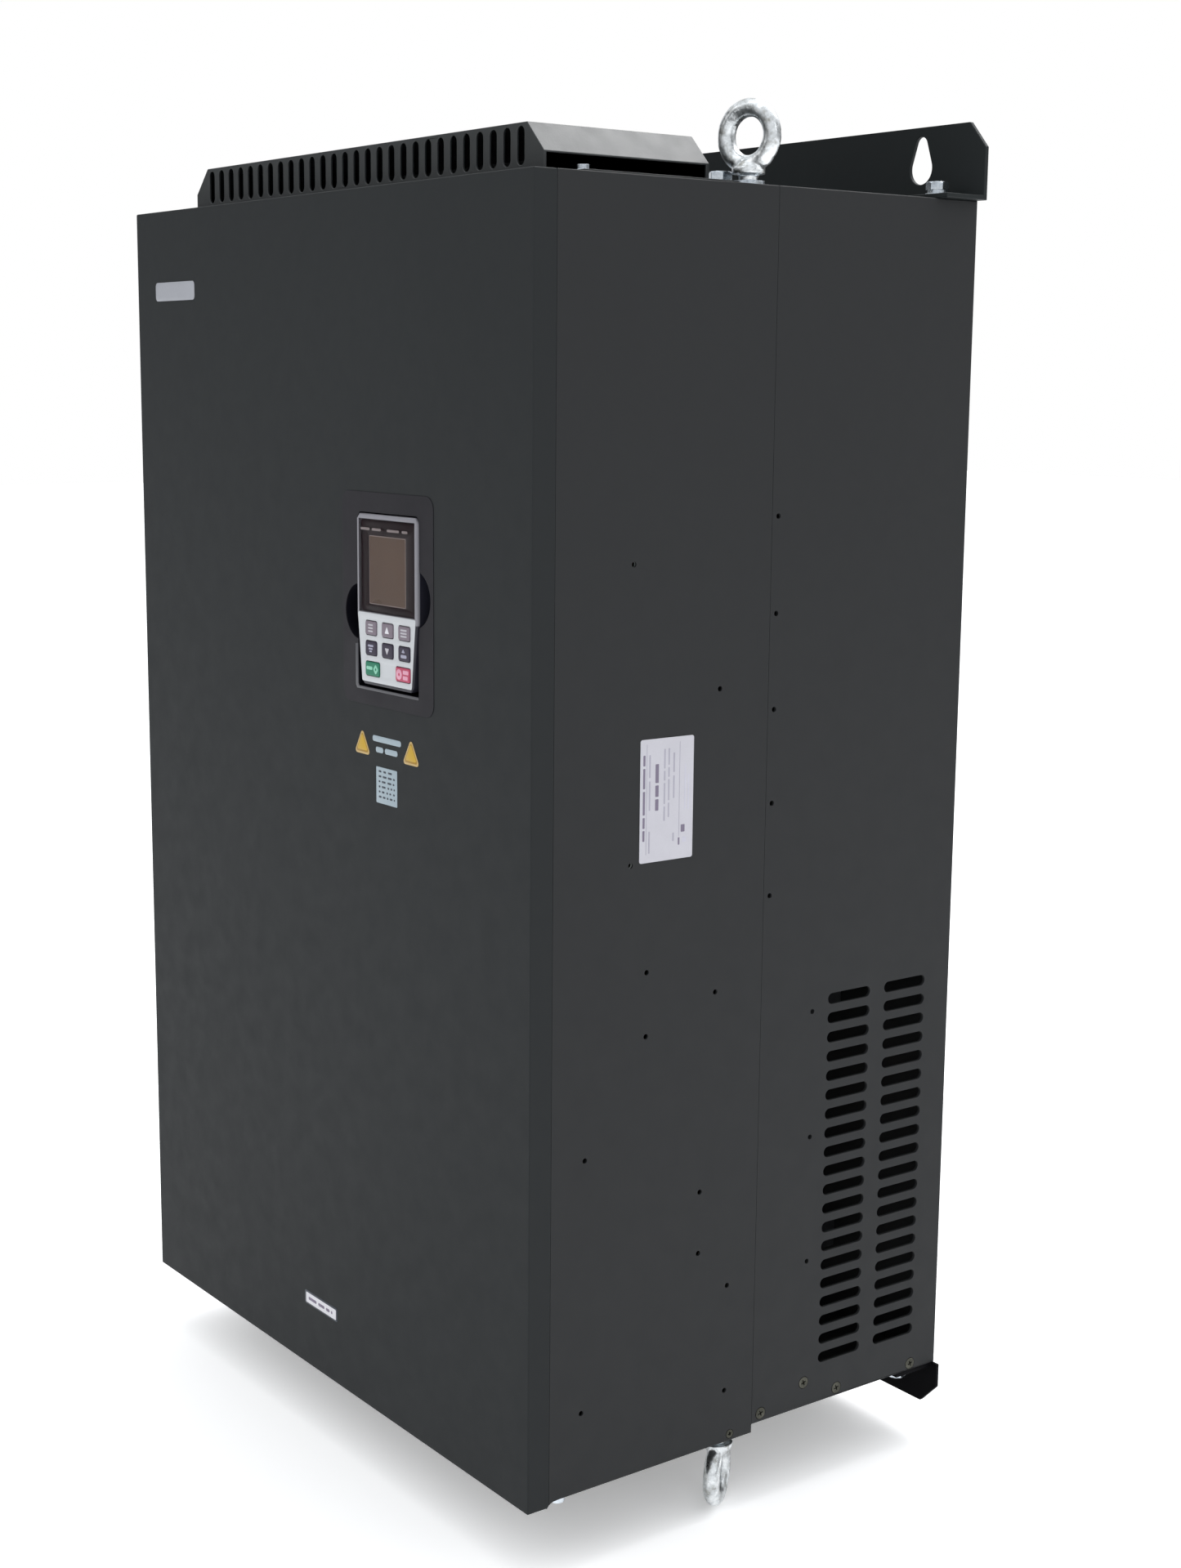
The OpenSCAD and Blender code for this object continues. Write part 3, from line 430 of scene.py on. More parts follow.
def gn_smooth(angle):
    g = bpy.data.node_groups.new("smooth_%d" % angle, "GeometryNodeTree")
    g.interface.new_socket("Geometry", in_out="INPUT", socket_type="NodeSocketGeometry")
    g.interface.new_socket("Geometry", in_out="OUTPUT", socket_type="NodeSocketGeometry")
    i, o = g.nodes.new("NodeGroupInput"), g.nodes.new("NodeGroupOutput")
    f = g.nodes.new("GeometryNodeSetShadeSmooth")
    f.domain = "FACE"
    f.inputs["Shade Smooth"].default_value = True
    e = g.nodes.new("GeometryNodeSetShadeSmooth")
    e.domain = "EDGE"
    ang = g.nodes.new("GeometryNodeInputMeshEdgeAngle")
    c = g.nodes.new("FunctionNodeCompare")
    c.data_type = "FLOAT"
    c.operation = "LESS_EQUAL"
    c.inputs[1].default_value = math.radians(angle)
    g.links.new(ang.outputs[0], c.inputs[0])
    g.links.new(i.outputs[0], f.inputs["Geometry"])
    g.links.new(f.outputs[0], e.inputs["Geometry"])
    g.links.new(c.outputs[0], e.inputs["Shade Smooth"])
    g.links.new(e.outputs[0], o.inputs[0])
    return g


STRIP = gn_strip()
SMOOTH = {a: gn_smooth(a) for a in (30, 50)}


def dress(node, mat, bevel=0.0, seg=2, smooth=30, limit=40):
    """Give a CAD node its material, and soften its edges with modifiers only."""
    o = NODES[node]
    for s in o.material_slots:
        s.material = M[mat]
    a = o.modifiers.new("plain_normals", "NODES")
    a.node_group = STRIP
    w = o.modifiers.new("weld", "WELD")
    w.merge_threshold = 1e-6
    if bevel:
        d = o.modifiers.new("planar", "DECIMATE")
        d.decimate_type = "DISSOLVE"
        d.angle_limit = math.radians(0.6)
    s = o.modifiers.new("smooth", "NODES")
    s.node_group = SMOOTH[smooth]
    if bevel:
        b = o.modifiers.new("edge", "BEVEL")
        b.width = bevel * MM
        b.segments = seg
        b.limit_method = "ANGLE"
        b.angle_limit = math.radians(limit)
        b.use_clamp_overlap = False
        b.harden_normals = True


DRESS = {
    "front_cover": ("cover_paint", 0.6, 3),
    "keypad_tray": ("bezel", 0.15, 2),
    "keypad_window": ("window", 0.25, 2),
    "lcd_module": ("lcd", 0.15, 2),
    "side_left": ("shell_paint", 0.45, 2),
    "side_right": ("shell_paint", 0.45, 2),
    "top_plate": ("shell_paint", 0.45, 2),
    "bottom_plate": ("shell_paint", 0.45, 2),
    "chassis_left": ("shell_paint", 0.45, 2),
    "chassis_right": ("shell_paint", 0.45, 2),
    "chassis_top": ("shell_paint", 0.45, 2),
    "chassis_bottom": ("shell_paint", 0.45, 2),
    "rear_panel": ("shell_paint", 0.4, 2),
    "partition": ("galv", 0.4, 2),
    "vent_hood": ("hood_paint", 0.4, 2),
    "wall_bracket_top": ("bracket_paint", 0.6, 3),
    # lower bracket takes the darkened paint copy: painted shade
    "wall_bracket_bottom": ("bracket_low_painted_shade", 0.6, 3),
    "hex_bolts": ("zinc", 0.3, 2),
    "spring_washers": ("zinc", 0.15, 2),
    "flat_washers": ("zinc", 0.2, 2),
    "lifting_plates": ("galv", 0.4, 2),
    "hood_screws": ("zinc", 0.2, 2),
    "side_screws": ("dark_screw", 0.15, 2),
    "cover_screws": ("zinc", 0.2, 2),
    "nameplate": ("label", 0.0, 1),
    "cable_grommets": ("rubber", 0.4, 2),
    "heatsink": ("fins", 0.3, 2),
    "igbt_modules": ("module_case", 0.8, 3),
    "rectifier_modules": ("module_dark", 0.8, 3),
    "dc_capacitors": ("can", 0.5, 2),
    "dc_busbars": ("copper", 0.4, 2),
    "input_busbars": ("copper", 0.4, 2),
    "output_busbars": ("copper", 0.4, 2),
    "current_sensors": ("sensor", 0.8, 3),
    "terminal_blocks": ("terminal", 0.6, 2),
    "terminal_hardware": ("zinc", 0.25, 2),
    "board_tray": ("galv", 0.35, 2),
    "control_board": ("pcb", 0.15, 1),
    "board_components": ("parts", 0.25, 2),
    "power_board": ("pcb_blue", 0.15, 1),
    "dc_reactor_core": ("core", 0.5, 2),
    "dc_reactor_coils": ("winding", 0.0, 1),
    "fan_frames": ("fan_black", 0.35, 2),
    "fan_guards": ("zinc", 0.0, 1),
    "fan_rotor_left": ("fan_black", 0.0, 1),
    "fan_rotor_centre": ("fan_black", 0.0, 1),
    "fan_rotor_right": ("fan_black", 0.0, 1),
}
for node, (mat, width, seg) in DRESS.items():
    dress(node, mat, width, seg)


# ------------------------------------------------------------ mesh helpers
def add_piece(name, mesh, mat, body, smooth=35):
    o = bpy.data.objects.new(name, mesh)
    scene.collection.objects.link(o)
    mesh.materials.clear()
    mesh.materials.append(M[mat])
    mesh.shade_smooth()
    mesh.set_sharp_from_angle(angle=math.radians(smooth))
    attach(o, body)
    return o


def rounded(x0, z0, x1, z1, r, n=6):
    """Rounded rectangle outline, counter-clockwise."""
    r = min(r, (x1 - x0) / 2 - 1e-4, (z1 - z0) / 2 - 1e-4)
    pts = []
    for cx, cz, a0 in ((x1 - r, z0 + r, -90), (x1 - r, z1 - r, 0), (x0 + r, z1 - r, 90), (x0 + r, z0 + r, 180)):
        for i in range(n + 1):
            a = math.radians(a0 + 90.0 * i / n)
            pts.append((cx + r * math.cos(a), cz + r * math.sin(a)))
    return pts


def corner_round(pts, r, n=5):
    """Round every corner of a convex polygon."""
    out = []
    k = len(pts)
    for i in range(k):
        p0, p1, p2 = Vector(pts[i - 1]), Vector(pts[i]), Vector(pts[(i + 1) % k])
        a, b = (p0 - p1).normalized(), (p2 - p1).normalized()
        half = math.acos(max(-1, min(1, a.dot(b)))) / 2
        t = r / math.tan(half)
        s, e = p1 + a * t, p1 + b * t
        c = p1 + (a + b).normalized() * (r / math.sin(half))
        a0 = math.atan2(s.y - c.y, s.x - c.x)
        a1 = math.atan2(e.y - c.y, e.x - c.x)
        d = a1 - a0
        while d > math.pi:
            d -= 2 * math.pi
        while d < -math.pi:
            d += 2 * math.pi
        for j in range(n + 1):
            q = a0 + d * j / n
            out.append((c.x + r * math.cos(q), c.y + r * math.sin(q)))
    return out


def circle(cx, cz, r, n=28):
    return [(cx + r * math.cos(2 * math.pi * i / n), cz + r * math.sin(2 * math.pi * i / n)) for i in range(n)]


def plate(name, loops_list, front, thick, mat, body, edge=0.0, facing="-Y"):
    """A thin part cut from sheet. loops_list holds shapes, each [outer, hole, hole...], in mm.
    facing -Y: points are (x, z) and front is y. facing +X: points are (y, z) and front is x."""
    cu = bpy.data.curves.new(name, "CURVE")
    cu.dimensions = "2D"
    cu.fill_mode = "BOTH"
    for loops in loops_list:
        for pts in loops:
            sp = cu.splines.new("POLY")
            sp.points.add(len(pts) - 1)
            for p, (u, v) in zip(sp.points, pts):
                p.co = (u * MM, v * MM, 0, 1)
            sp.use_cyclic_u = True
    e = min(edge, thick * 0.45)
    cu.extrude = (thick / 2 - e) * MM
    cu.bevel_depth = e * MM
    cu.bevel_resolution = 1
    cu.offset = -e * MM
    tmp = bpy.data.objects.new(name + "_tmp", cu)
    scene.collection.objects.link(tmp)
    dg = bpy.context.evaluated_depsgraph_get()
    me = bpy.data.meshes.new_from_object(tmp.evaluated_get(dg))
    bpy.data.objects.remove(tmp)
    bpy.data.curves.remove(cu)
    if facing == "-Y":
        mid = (front + thick / 2) * MM
        for v in me.vertices:
            x, y, z = v.co
            v.co = (x, mid - z, y)
    else:
        mid = (front - thick / 2) * MM
        for v in me.vertices:
            x, y, z = v.co
            v.co = (mid + z, x, y)
    bm = bmesh.new()
    bm.from_mesh(me)
    bmesh.ops.remove_doubles(bm, verts=bm.verts, dist=1e-7)
    bmesh.ops.recalc_face_normals(bm, faces=bm.faces)
    bm.to_mesh(me)
    bm.free()
    me.name = name
    return add_piece(name, me, mat, body)


def loft(name, rings, mat, body, cap_first=True, cap_last=True, smooth=35):
    """Skin a stack of closed rings with the same number of points."""
    bm = bmesh.new()
    loops = [[bm.verts.new(Vector(p) * MM) for p in r] for r in rings]
    n = len(rings[0])
    for a, b in zip(loops, loops[1:]):
        for i in range(n):
            bm.faces.new((a[i], a[(i + 1) % n], b[(i + 1) % n], b[i]))
    if cap_first:
        bm.faces.new(loops[0])
    if cap_last:
        bm.faces.new(loops[-1])
    bmesh.ops.recalc_face_normals(bm, faces=bm.faces)
    me = bpy.data.meshes.new(name)
    bm.to_mesh(me)
    bm.free()
    return add_piece(name, me, mat, body, smooth)


def bar(x0, z0, x1, z1, r=None):
    h = min(x1 - x0, z1 - z0)
    return [rounded(x0, z0, x1, z1, h * 0.45 if r is None else r, 4)]


def own_copy(node, name):
    me = NODES[node].data.copy()
    me.name = name
    bm = bmesh.new()
    bm.from_mesh(me)
    bmesh.ops.remove_doubles(bm, verts=bm.verts, dist=1e-6)
    bmesh.ops.dissolve_limit(bm, angle_limit=math.radians(0.6), verts=bm.verts, edges=bm.edges)
    return me, bm


def drop_custom(me):
    at = me.attributes.get("custom_normal")
    if at:
        me.attributes.remove(at)


def folded(node, name, mat, body, outer, radius=1.3, fine=0.12):
    """Sheet-metal part with a true bend radius where two outer faces meet, and fine breaks elsewhere."""
    me, bm = own_copy(node, name)
    lay = bm.edges.layers.float.get("bevel_weight_edge") or bm.edges.layers.float.new("bevel_weight_edge")
    for e in bm.edges:
        e[lay] = 0.0
        if len(e.link_faces) == 2 and e.calc_face_angle(0) > math.radians(40):
            a, b = e.verts[0].co / MM, e.verts[1].co / MM
            n = 0
            for axis, val in outer:
                pa, pb = (abs(a.x), abs(b.x)) if axis == 3 else (a[axis], b[axis])
                if abs(pa - val) < 0.05 and abs(pb - val) < 0.05:
                    n += 1
            e[lay] = 1.0 if n >= 2 and e.calc_length() > 3 * MM else fine
    bm.to_mesh(me)
    bm.free()
    drop_custom(me)
    o = add_piece(name, me, mat, body, 35)
    b = o.modifiers.new("bends", "BEVEL")
    b.width = radius * MM
    b.segments = 4
    b.limit_method = "WEIGHT"
    b.use_clamp_overlap = False
    b.harden_normals = True
    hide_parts(node)
    return o


folded("front_cover", "cover_pan", "cover_paint", "cover", [(1, -349.0), (2, 400.0), (2, -401.6), (3, 250.0)], 1.2, 0.06)
folded("side_right", "wrap_right", "shell_paint", "drive_box", [(2, 400.0), (2, -398.0), (3, 250.0)], 1.3, 0.05)
folded("side_left", "wrap_left", "shell_paint", "drive_box", [(2, 400.0), (2, -398.0), (3, 250.0)], 1.3, 0.05)
folded("chassis_right", "rear_wrap_right", "shell_paint", "drive_box", [(2, 400.0), (2, -392.4), (3, 250.0), (1, 0.0)], 1.0, 0.06)
folded("chassis_left", "rear_wrap_left", "shell_paint", "drive_box", [(2, 400.0), (2, -392.4), (3, 250.0), (1, 0.0)], 1.0, 0.06)

# -------------------------------------------------------- prints on the cover
Y0 = -349.0


def triangle(tag, cx, z0, w, h):
    o = plate("mark_rim_" + tag, [[corner_round([(cx - w / 2, z0), (cx + w / 2, z0), (cx, z0 + h)], 1.9)]], Y0 - 0.2, 0.2, "amber_rim", "cover", 0.05)
    s = 0.80
    zi = z0 + h * 0.075
    plate("mark_line_" + tag, [[corner_round([(cx - w / 2 * s, zi), (cx + w / 2 * s, zi), (cx, zi + h * s)], 1.2)]], Y0 - 0.24, 0.06, "amber_line", "cover", 0.02)
    s = 0.66
    zi = z0 + h * 0.15
    plate("mark_face_" + tag, [[corner_round([(cx - w / 2 * s, zi), (cx + w / 2 * s, zi), (cx, zi + h * s)], 1.0)]], Y0 - 0.28, 0.06, "amber", "cover", 0.02)
    return o


t1 = triangle("left", 62.2, 46.4, 19.5, 16.6)
triangle("right", 120.5, 46.6, 20.0, 16.8)
bars = [bar(74.8, 56.4, 108.8, 60.2), bar(78.6, 49.6, 87.6, 53.2), bar(89.6, 49.6, 104.6, 53.2)]
plate("print_bars", bars, Y0 - 0.2, 0.2, "print", "cover", 0.05)
plate("print_patch", [[rounded(79.0, 17.1, 104.0, 40.5, 0.8)]], Y0 - 0.2, 0.2, "print", "cover", 0.05)
dots = []
rnd = random.Random(7)
for i in range(6):
    z = 20.6 + i * 3.3
    x = 82.0
    while x < 100.0:
        w = rnd.choice((2.0, 3.2, 4.6))
        x1 = min(x + w, 101.4)
        if x1 - x > 1.2:
            dots.append(bar(x, z, x1, z + 1.3))
        x += w + rnd.choice((1.6, 2.4))
plate("print_patch_rows", dots, Y0 - 0.24, 0.05, "print_dark", "cover", 0.01)
plate("bottom_tag_rim", [[rounded(-22.2, -356.6 + 0.3, 22.2, -346.4, 1.6)]], Y0 - 0.1, 0.1, "print_dark", "cover", 0.03)
plate("bottom_tag", [[rounded(-20.5, -355.2, 20.5, -347.8, 0.9)]], Y0 - 0.2, 0.12, "icon_white", "cover", 0.04)
plate("bottom_tag_bars", [bar(-17.0, -352.6, -6.0, -350.4), bar(-3.6, -352.6, 5.0, -350.4), bar(7.0, -352.6, 12.0, -350.4), bar(13.8, -352.6, 15.8, -350.4)], Y0 - 0.23, 0.04, "ink_dark", "cover", 0.01)
badge = plate("blank_badge", [[rounded(-220.0, 337.5, -160.0, 350.5, 3.0)]], Y0 - 0.3, 0.3, "badge", "cover", 0.12)
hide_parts("cover_labels")

# ------------------------------------------------------------ rating plate
NP_Y, NP_Z = -269.1, -3.0


def col(u, z0, z1, w):
    return [rounded(NP_Y + u - w / 2, NP_Z + z0, NP_Y + u + w / 2, NP_Z + z1, min(0.35, w * 0.3), 3)]


plate("rating_rules", [col(4.9, 5.0, 72.5, 0.5), col(30.2, 14.0, 72.5, 0.5)], 250.33, 0.06, "ink_mid", "drive_box", 0.01, "+X")
dark = [col(2.9, 13.4, 20.0, 1.6), col(2.9, 21.4, 28.0, 1.6), col(2.9, 29.6, 44.0, 1.6), col(2.9, 45.6, 58.0, 1.6), col(2.9, 59.5, 66.0, 1.6)]
dark += [col(12.8, 31.5, 38.5, 2.6), col(12.8, 40.0, 47.0, 2.6), col(12.8, 48.5, 60.0, 2.6), col(30.2, 8.6, 13.2, 1.3), col(33.2, 16.4, 21.0, 3.0)]
mid = [col(7.2, 5.6, 19.2, 1.2), col(7.2, 32.0, 50.0, 1.2), col(7.2, 52.0, 66.0, 1.2)]
for u, z0 in ((18.6, 24.6), (21.9, 26.6)):
    z = z0
    for L in (9.0, 13.0, 6.0, 12.0):
        mid.append(col(u, z, min(z + L, 69.0), 1.2))
        z += L + 1.4
mid += [col(25.8, 11.4, 16.6, 1.3), col(25.8, 38.0, 52.0, 1.2), col(25.8, 54.0, 66.0, 1.2)]
light = [col(34.4, 10.0, 13.2, 3.2), col(34.6, 30.0, 58.0, 1.0), col(37.2, 30.0, 52.0, 1.0)]
plate("rating_bold", dark, 250.34, 0.06, "ink_dark", "drive_box", 0.01, "+X")
plate("rating_rows", mid, 250.34, 0.06, "ink_mid", "drive_box", 0.01, "+X")
plate("rating_faint", light, 250.34, 0.06, "ink_light", "drive_box", 0.01, "+X")

# ------------------------------------------------------------------ keypad
klo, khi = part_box("keypad_housing")
KX = (klo.x + khi.x) / 2 / MM
KY = klo.y / MM


def half_width(z):
    if z >= 136.5:
        return 35.5
    return 30.4 + max(0.0, z - 95.3) / 41.2 * 5.1


me, bm = own_copy("keypad_housing", "keypad_shell")
outer, inner = [], []
for e in bm.edges:
    if len(e.link_faces) != 2 or e.calc_face_angle(0) < math.radians(40):
        continue
    mid_ = (e.verts[0].co + e.verts[1].co) / 2 / MM
    on_front = abs(mid_.y - KY) < 0.05
    edge_x = abs(abs(mid_.x - KX) - half_width(mid_.z)) < 0.4
    corner = abs(mid_.x - KX) > half_width(mid_.z) - 3.4 and (mid_.z > 197.0 or mid_.z < 95.5)
    edge_z = mid_.z > 200.0 or mid_.z < 92.7
    if on_front and (edge_x or edge_z or corner):
        outer.append(e)
bmesh.ops.bevel(bm, geom=outer, offset=1.3 * MM, segments=5, profile=0.5, affect="EDGES", clamp_overlap=False)
side = []
for e in bm.edges:
    if len(e.link_faces) != 2 or e.calc_face_angle(0) < math.radians(30):
        continue
    mid_ = (e.verts[0].co + e.verts[1].co) / 2 / MM
    d = (e.verts[1].co - e.verts[0].co).normalized()
    if abs(d.y) > 0.95 and (mid_.z > 195.0 or mid_.z < 96.0) and e.calc_length() > 8 * MM:
        side.append(e)
bmesh.ops.bevel(bm, geom=side, offset=0.8 * MM, segments=3, profile=0.5, affect="EDGES", clamp_overlap=True)
bm.to_mesh(me)
bm.free()
drop_custom(me)
shell = add_piece("keypad_shell", me, "keypad_grey", "keypad", 32)
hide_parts("keypad_housing")

KEYS = {}
for tag, mat in (("menu", "key_mauve"), ("up", "key_mauve"), ("data", "key_mauve"), ("quick", "key_navy"), ("down", "key_navy"), ("shift", "key_navy"), ("run", "key_green"), ("stop", "key_red")):
    lo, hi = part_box("key_" + tag)
    KEYS[tag] = ((lo.x + hi.x) / 2 / MM, (lo.z + hi.z) / 2 / MM, (hi.x - lo.x) / MM, (hi.z - lo.z) / MM, mat)
holes = []
for tag, (cx, cz, w, h, mat) in KEYS.items():
    g = 0.5
    holes.append(rounded(cx - w / 2 - g, cz - h / 2 - g, cx + w / 2 + g, cz + h / 2 + g, 1.6, 4))
field = corner_round([(KX - 29.4, 94.4), (KX + 29.4, 94.4), (KX + 34.1, 138.2), (KX - 34.1, 138.2)], 1.3, 5)
plate("key_field", [[field] + holes], KY - 0.16, 0.16, "key_field", "keypad", 0.05)

for tag, (cx, cz, w, h, mat) in KEYS.items():
    lo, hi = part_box("key_" + tag)
    yf, yb = lo.y / MM, hi.y / MM
    rings = []
    for inset, y, r in ((0.0, yb, 1.3), (0.0, yf + 0.62, 1.3), (0.03, yf + 0.40, 1.3), (0.14, yf + 0.22, 1.25), (0.36, yf + 0.11, 1.2), (0.8, yf + 0.06, 1.1), (1.5, yf + 0.05, 0.9), (2.6, yf + 0.06, 0.7)):
        rings.append([(x, y, z) for x, z in rounded(cx - w / 2 + inset, cz - h / 2 + inset, cx + w / 2 - inset, cz + h / 2 - inset, r, 5)])
    cap = loft("keycap_" + tag, rings, mat, "key_%s_cap" % tag, smooth=60)
    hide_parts("key_" + tag)
    yi = yf
    b = "key_%s_cap" % tag
    if tag == "up":
        plate("icon_up", [[corner_round([(cx - 2.6, cz - 1.9), (cx + 2.6, cz - 1.9), (cx, cz + 2.5)], 0.35, 3)]], yi, 0.1, "icon_white", b, 0.03)
    elif tag == "down":
        plate("icon_down", [[corner_round([(cx + 2.5, cz + 1.7), (cx - 2.5, cz + 1.7), (cx, cz - 2.5)], 0.35, 3)]], yi, 0.1, "icon_pale", b, 0.03)
    elif tag == "menu":
        plate("icon_menu", [bar(cx - 2.8, cz + d, cx + 2.8, cz + d + 1.0) for d in (1.5, -0.5, -2.5)], yi, 0.1, "icon_pale", b, 0.03)
    elif tag == "data":
        plate("icon_data", [bar(cx - 3.6, cz + d, cx + 3.6, cz + d + 1.1) for d in (1.4, -0.5, -2.4)], yi, 0.1, "icon_pale", b, 0.03)
    elif tag == "quick":
        plate("icon_quick", [bar(cx - 3.2, cz + 0.9, cx + 3.2, cz + 2.2), bar(cx - 2.4, cz - 0.9, cx + 2.4, cz + 0.2), bar(cx - 1.5, cz - 2.5, cx + 1.5, cz - 1.5)], yi, 0.1, "icon_navy", b, 0.03)
    elif tag == "shift":
        plate("icon_shift", [[corner_round([(cx - 2.4, cz + 0.7), (cx + 1.6, cz + 0.7), (cx - 0.6, cz + 3.1)], 0.3, 3)], bar(cx - 3.4, cz - 2.6, cx + 3.4, cz - 0.5)], yi, 0.1, "icon_navy", b, 0.03)
    elif tag == "run":
        plate("icon_run", [bar(cx - 6.8, cz - 0.6, cx + 0.4, cz + 1.5), [corner_round([(cx + 1.2, cz), (cx + 4.3, cz - 3.3), (cx + 7.4, cz), (cx + 4.3, cz + 3.3)], 0.9, 4), list(reversed(circle(cx + 4.3, cz, 0.9, 16)))]], yi, 0.1, "icon_mint", b, 0.03)
    elif tag == "stop":
        plate("icon_stop", [[circle(cx - 3.9, cz, 3.3, 32), list(reversed(circle(cx - 3.9, cz, 1.0, 16)))], bar(cx + 0.6, cz + 0.5, cx + 7.0, cz + 3.0, 0.6), bar(cx + 0.6, cz - 3.0, cx + 6.2, cz - 0.5, 0.6)], yi, 0.1, "icon_pink", b, 0.03)

# window: dark print behind the smoked glass, with the display showing through
lo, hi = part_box("keypad_window")
wx0, wx1, wz0, wz1 = lo.x / MM, hi.x / MM, lo.z / MM, hi.z / MM
lo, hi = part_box("lcd_module")
LX = (lo.x + hi.x) / 2 / MM
lx0, lx1, lz0, lz1 = LX - 21.6, LX + 21.6, 143.8, 187.0
plate("window_print", [[rounded(wx0 + 0.3, wz0 + 0.3, wx1 - 0.3, wz1 - 0.3, 2.4), list(reversed(rounded(lx0, lz0, lx1, lz1, 0.8, 3)))]], -349.2, 0.07, "mask", "keypad", 0.01)
plate("window_frame_line", [[rounded(lx0, lz0, lx1, lz1, 0.8, 3), list(reversed(rounded(lx0 + 0.6, lz0 + 0.6, lx1 - 0.6, lz1 - 0.6, 0.5, 3)))]], -349.19, 0.05, "lcd_frame", "keypad", 0.005)
leds = []
for cx, w in ((70.0, 10.8), (83.5, 10.8), (103.0, 14.0), (116.6, 6.5)):
    leds.append([rounded(cx - w / 2, 190.2, cx + w / 2, 191.8, 0.7, 4)])
# moulded lip around the foot of the keypad pocket, drawn as a flat strip whose lighter colour is a painted highlight on
# the lit rim
PX0, PX1 = KX - 36.4, KX + 35.2
lip_highlight = [(PX0 - 3.2, 117.0), (PX0 - 3.2, 90.6), (PX0 - 1.6, 88.6), (PX1 - 0.6, 88.6), (PX1 + 0.2, 89.4), (PX1 - 0.4, 90.3), (PX0 + 1.2, 90.3), (PX0 - 0.1, 91.8), (PX0 - 0.1, 117.5)]
plate("pocket_lip_highlight", [[lip_highlight]], -349.52, 0.16, "lip_highlight", "cover", 0.05)
plate("status_bars", leds, -350.64, 0.05, "legend", "keypad", 0.01)


# --------------------------------------------------------------- eye bolts
def forged(node, name, seed):
    """Drop-forged and zinc-dipped look: the sharp CAD joints flow together, skin slightly uneven."""
    src = bpy.data.objects.new(name + "_src", NODES[node].data.copy())
    scene.collection.objects.link(src)
    w = src.modifiers.new("w", "WELD")
    w.merge_threshold = 1e-6
    r = src.modifiers.new("r", "REMESH")
    r.mode = "VOXEL"
    r.voxel_size = 0.75 * MM
    s = src.modifiers.new("s", "SMOOTH")
    s.factor = 0.5
    s.iterations = 7
    dg = bpy.context.evaluated_depsgraph_get()
    me = bpy.data.meshes.new_from_object(src.evaluated_get(dg))
    bpy.data.objects.remove(src)
    nor = [v.normal.copy() for v in me.vertices]
    for v, n_ in zip(me.vertices, nor):
        p = v.co / MM
        a = noise.fractal(p * 0.14 + Vector((seed, 0, 0)), 1.0, 2.0, 3)
        b = noise.noise(p * 0.9 + Vector((0, seed, 0)))
        v.co = v.co - n_ * MM * max(0.0, 0.16 + 0.22 * a + 0.06 * b)
    me.name = name
    drop_custom(me)
    o = add_piece(name, me, "zinc_forged", "drive_box", 80)
    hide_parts(node)
    return o


forged("eye_bolts_top", "forged_eyes_top", 3.1)
forged("eye_bolts_bottom", "forged_eyes_bottom", 8.7)

# ------------------------------------------------------------------- stage
bm = bmesh.new()
bmesh.ops.create_grid(bm, x_segments=2, y_segments=2, size=14.0)
me = bpy.data.meshes.new("floor")
bm.to_mesh(me)
bm.free()
floor = bpy.data.objects.new("floor", me)
floor.location = (0, 0, cad_box[0].z - 0.0005)
scene.collection.objects.link(floor)
k = Mat("floor", spec=0.2)
k.colour(k.ramp(k.noise(0.6, 2.0), [(0.3, (0.93, 0.93, 0.935)), (0.7, (0.96, 0.96, 0.96))]))
k.rough(0.75, 0.85, 3.0)
k.b.inputs["Emission Color"].default_value = (1, 1, 1, 1)
k.b.inputs["Emission Strength"].default_value = 0.30
me.materials.append(k.m)

world = bpy.data.worlds.new("studio")
scene.world = world
world.use_nodes = True
wt = world.node_tree
wt.nodes.clear()
out = wt.nodes.new("ShaderNodeOutputWorld")
bg_cam = wt.nodes.new("ShaderNodeBackground")
bg_cam.inputs["Color"].default_value = (1, 1, 1, 1)
bg_env = wt.nodes.new("ShaderNodeBackground")
mixw = wt.nodes.new("ShaderNodeMixShader")
lp = wt.nodes.new("ShaderNodeLightPath")
tcw = wt.nodes.new("ShaderNodeTexCoord")
sep = wt.nodes.new("ShaderNodeSeparateXYZ")
wt.links.new(tcw.outputs["Generated"], sep.inputs[0])
rmp = wt.nodes.new("ShaderNodeValToRGB")
els = rmp.color_ramp.elements
SKY = [(0.0, 0.70), (0.48, 0.62), (0.60, 0.75), (0.78, 1.15), (1.0, 1.45)]
while len(els) < len(SKY):
    els.new(0.5)
for e, (p, v) in zip(els, SKY):
    e.position = p
    e.color = (v * 0.985, v, v * 1.02, 1)
mr = wt.nodes.new("ShaderNodeMapRange")
mr.inputs["From Min"].default_value = -1.0
mr.inputs["From Max"].default_value = 1.0
wt.links.new(sep.outputs["Z"], mr.inputs["Value"])
wt.links.new(mr.outputs["Result"], rmp.inputs["Fac"])
nz = wt.nodes.new("ShaderNodeTexNoise")
nz.inputs["Scale"].default_value = 2.2
nz.inputs["Detail"].default_value = 1.0
wt.links.new(tcw.outputs["Generated"], nz.inputs["Vector"])
nr = wt.nodes.new("ShaderNodeMapRange")
nr.inputs["From Min"].default_value = 0.36
nr.inputs["From Max"].default_value = 0.62
nr.inputs["To Min"].default_value = 0.55
nr.inputs["To Max"].default_value = 1.35
wt.links.new(nz.outputs["Fac"], nr.inputs["Value"])
wt.links.new(rmp.outputs["Color"], bg_env.inputs["Color"])
level = nr.outputs["Result"]
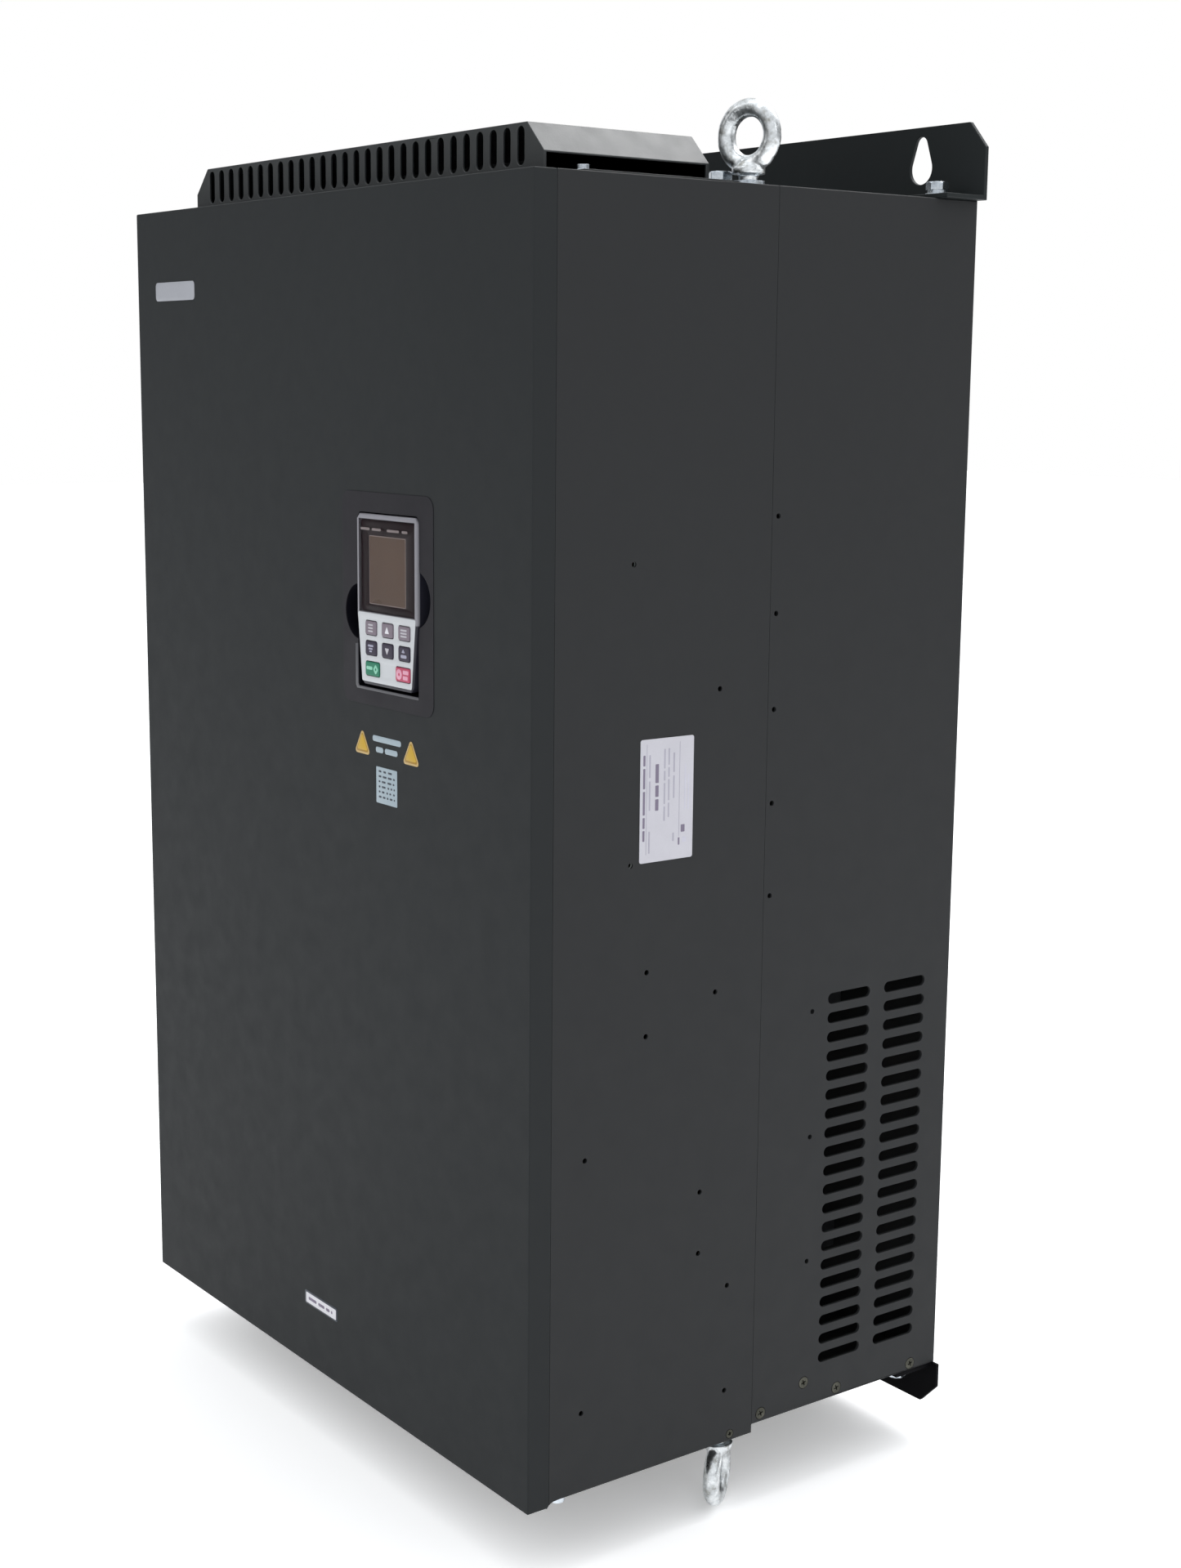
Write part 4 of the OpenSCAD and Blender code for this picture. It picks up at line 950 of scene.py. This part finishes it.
# two dark flags stand where the front and the right side would mirror the bright room
for way, depth in (((-0.85, -0.52, -0.08), 0.15), ((0.77, 0.62, -0.15), 0.5)):
    dp = wt.nodes.new("ShaderNodeVectorMath")
    dp.operation = "DOT_PRODUCT"
    dp.inputs[1].default_value = Vector(way).normalized()
    wt.links.new(tcw.outputs["Generated"], dp.inputs[0])
    fr = wt.nodes.new("ShaderNodeMapRange")
    fr.inputs["From Min"].default_value = 0.72
    fr.inputs["From Max"].default_value = 0.90
    fr.inputs["To Min"].default_value = 1.0
    fr.inputs["To Max"].default_value = depth
    wt.links.new(dp.outputs["Value"], fr.inputs["Value"])
    ml = wt.nodes.new("ShaderNodeMath")
    ml.operation = "MULTIPLY"
    wt.links.new(level, ml.inputs[0])
    wt.links.new(fr.outputs["Result"], ml.inputs[1])
    level = ml.outputs[0]
wt.links.new(level, bg_env.inputs["Strength"])
wt.links.new(lp.outputs["Is Camera Ray"], mixw.inputs["Fac"])
wt.links.new(bg_env.outputs[0], mixw.inputs[1])
wt.links.new(bg_cam.outputs[0], mixw.inputs[2])
wt.links.new(mixw.outputs[0], out.inputs["Surface"])


def area(name, loc, target, size, radiance, colour=(1, 1, 1)):
    d = bpy.data.lights.new(name, "AREA")
    d.shape = "RECTANGLE"
    d.size, d.size_y = size
    d.energy = radiance * size[0] * size[1] * math.pi
    d.color = colour
    o = bpy.data.objects.new(name, d)
    o.location = loc
    o.rotation_euler = (Vector(target) - Vector(loc)).to_track_quat("-Z", "Y").to_euler()
    scene.collection.objects.link(o)
    o.visible_camera = False
    return o


area("top_back", (0.02, 1.08, 2.18), (0.1, -0.2, 0.42), (1.3, 1.3), 5.0)
area("front_left", (-1.6, -2.6, 1.6), (0, -0.2, 0), (1.2, 1.6), 0.7, (1.0, 0.99, 0.97))
area("right_soft", (3.0, 0.6, 1.4), (0, -0.2, 0), (1.4, 1.4), 0.7, (0.96, 0.98, 1.0))

scene.view_settings.view_transform = "Standard"
scene.view_settings.look = "None"
scene.view_settings.exposure = 0.0
scene.view_settings.gamma = 1.0
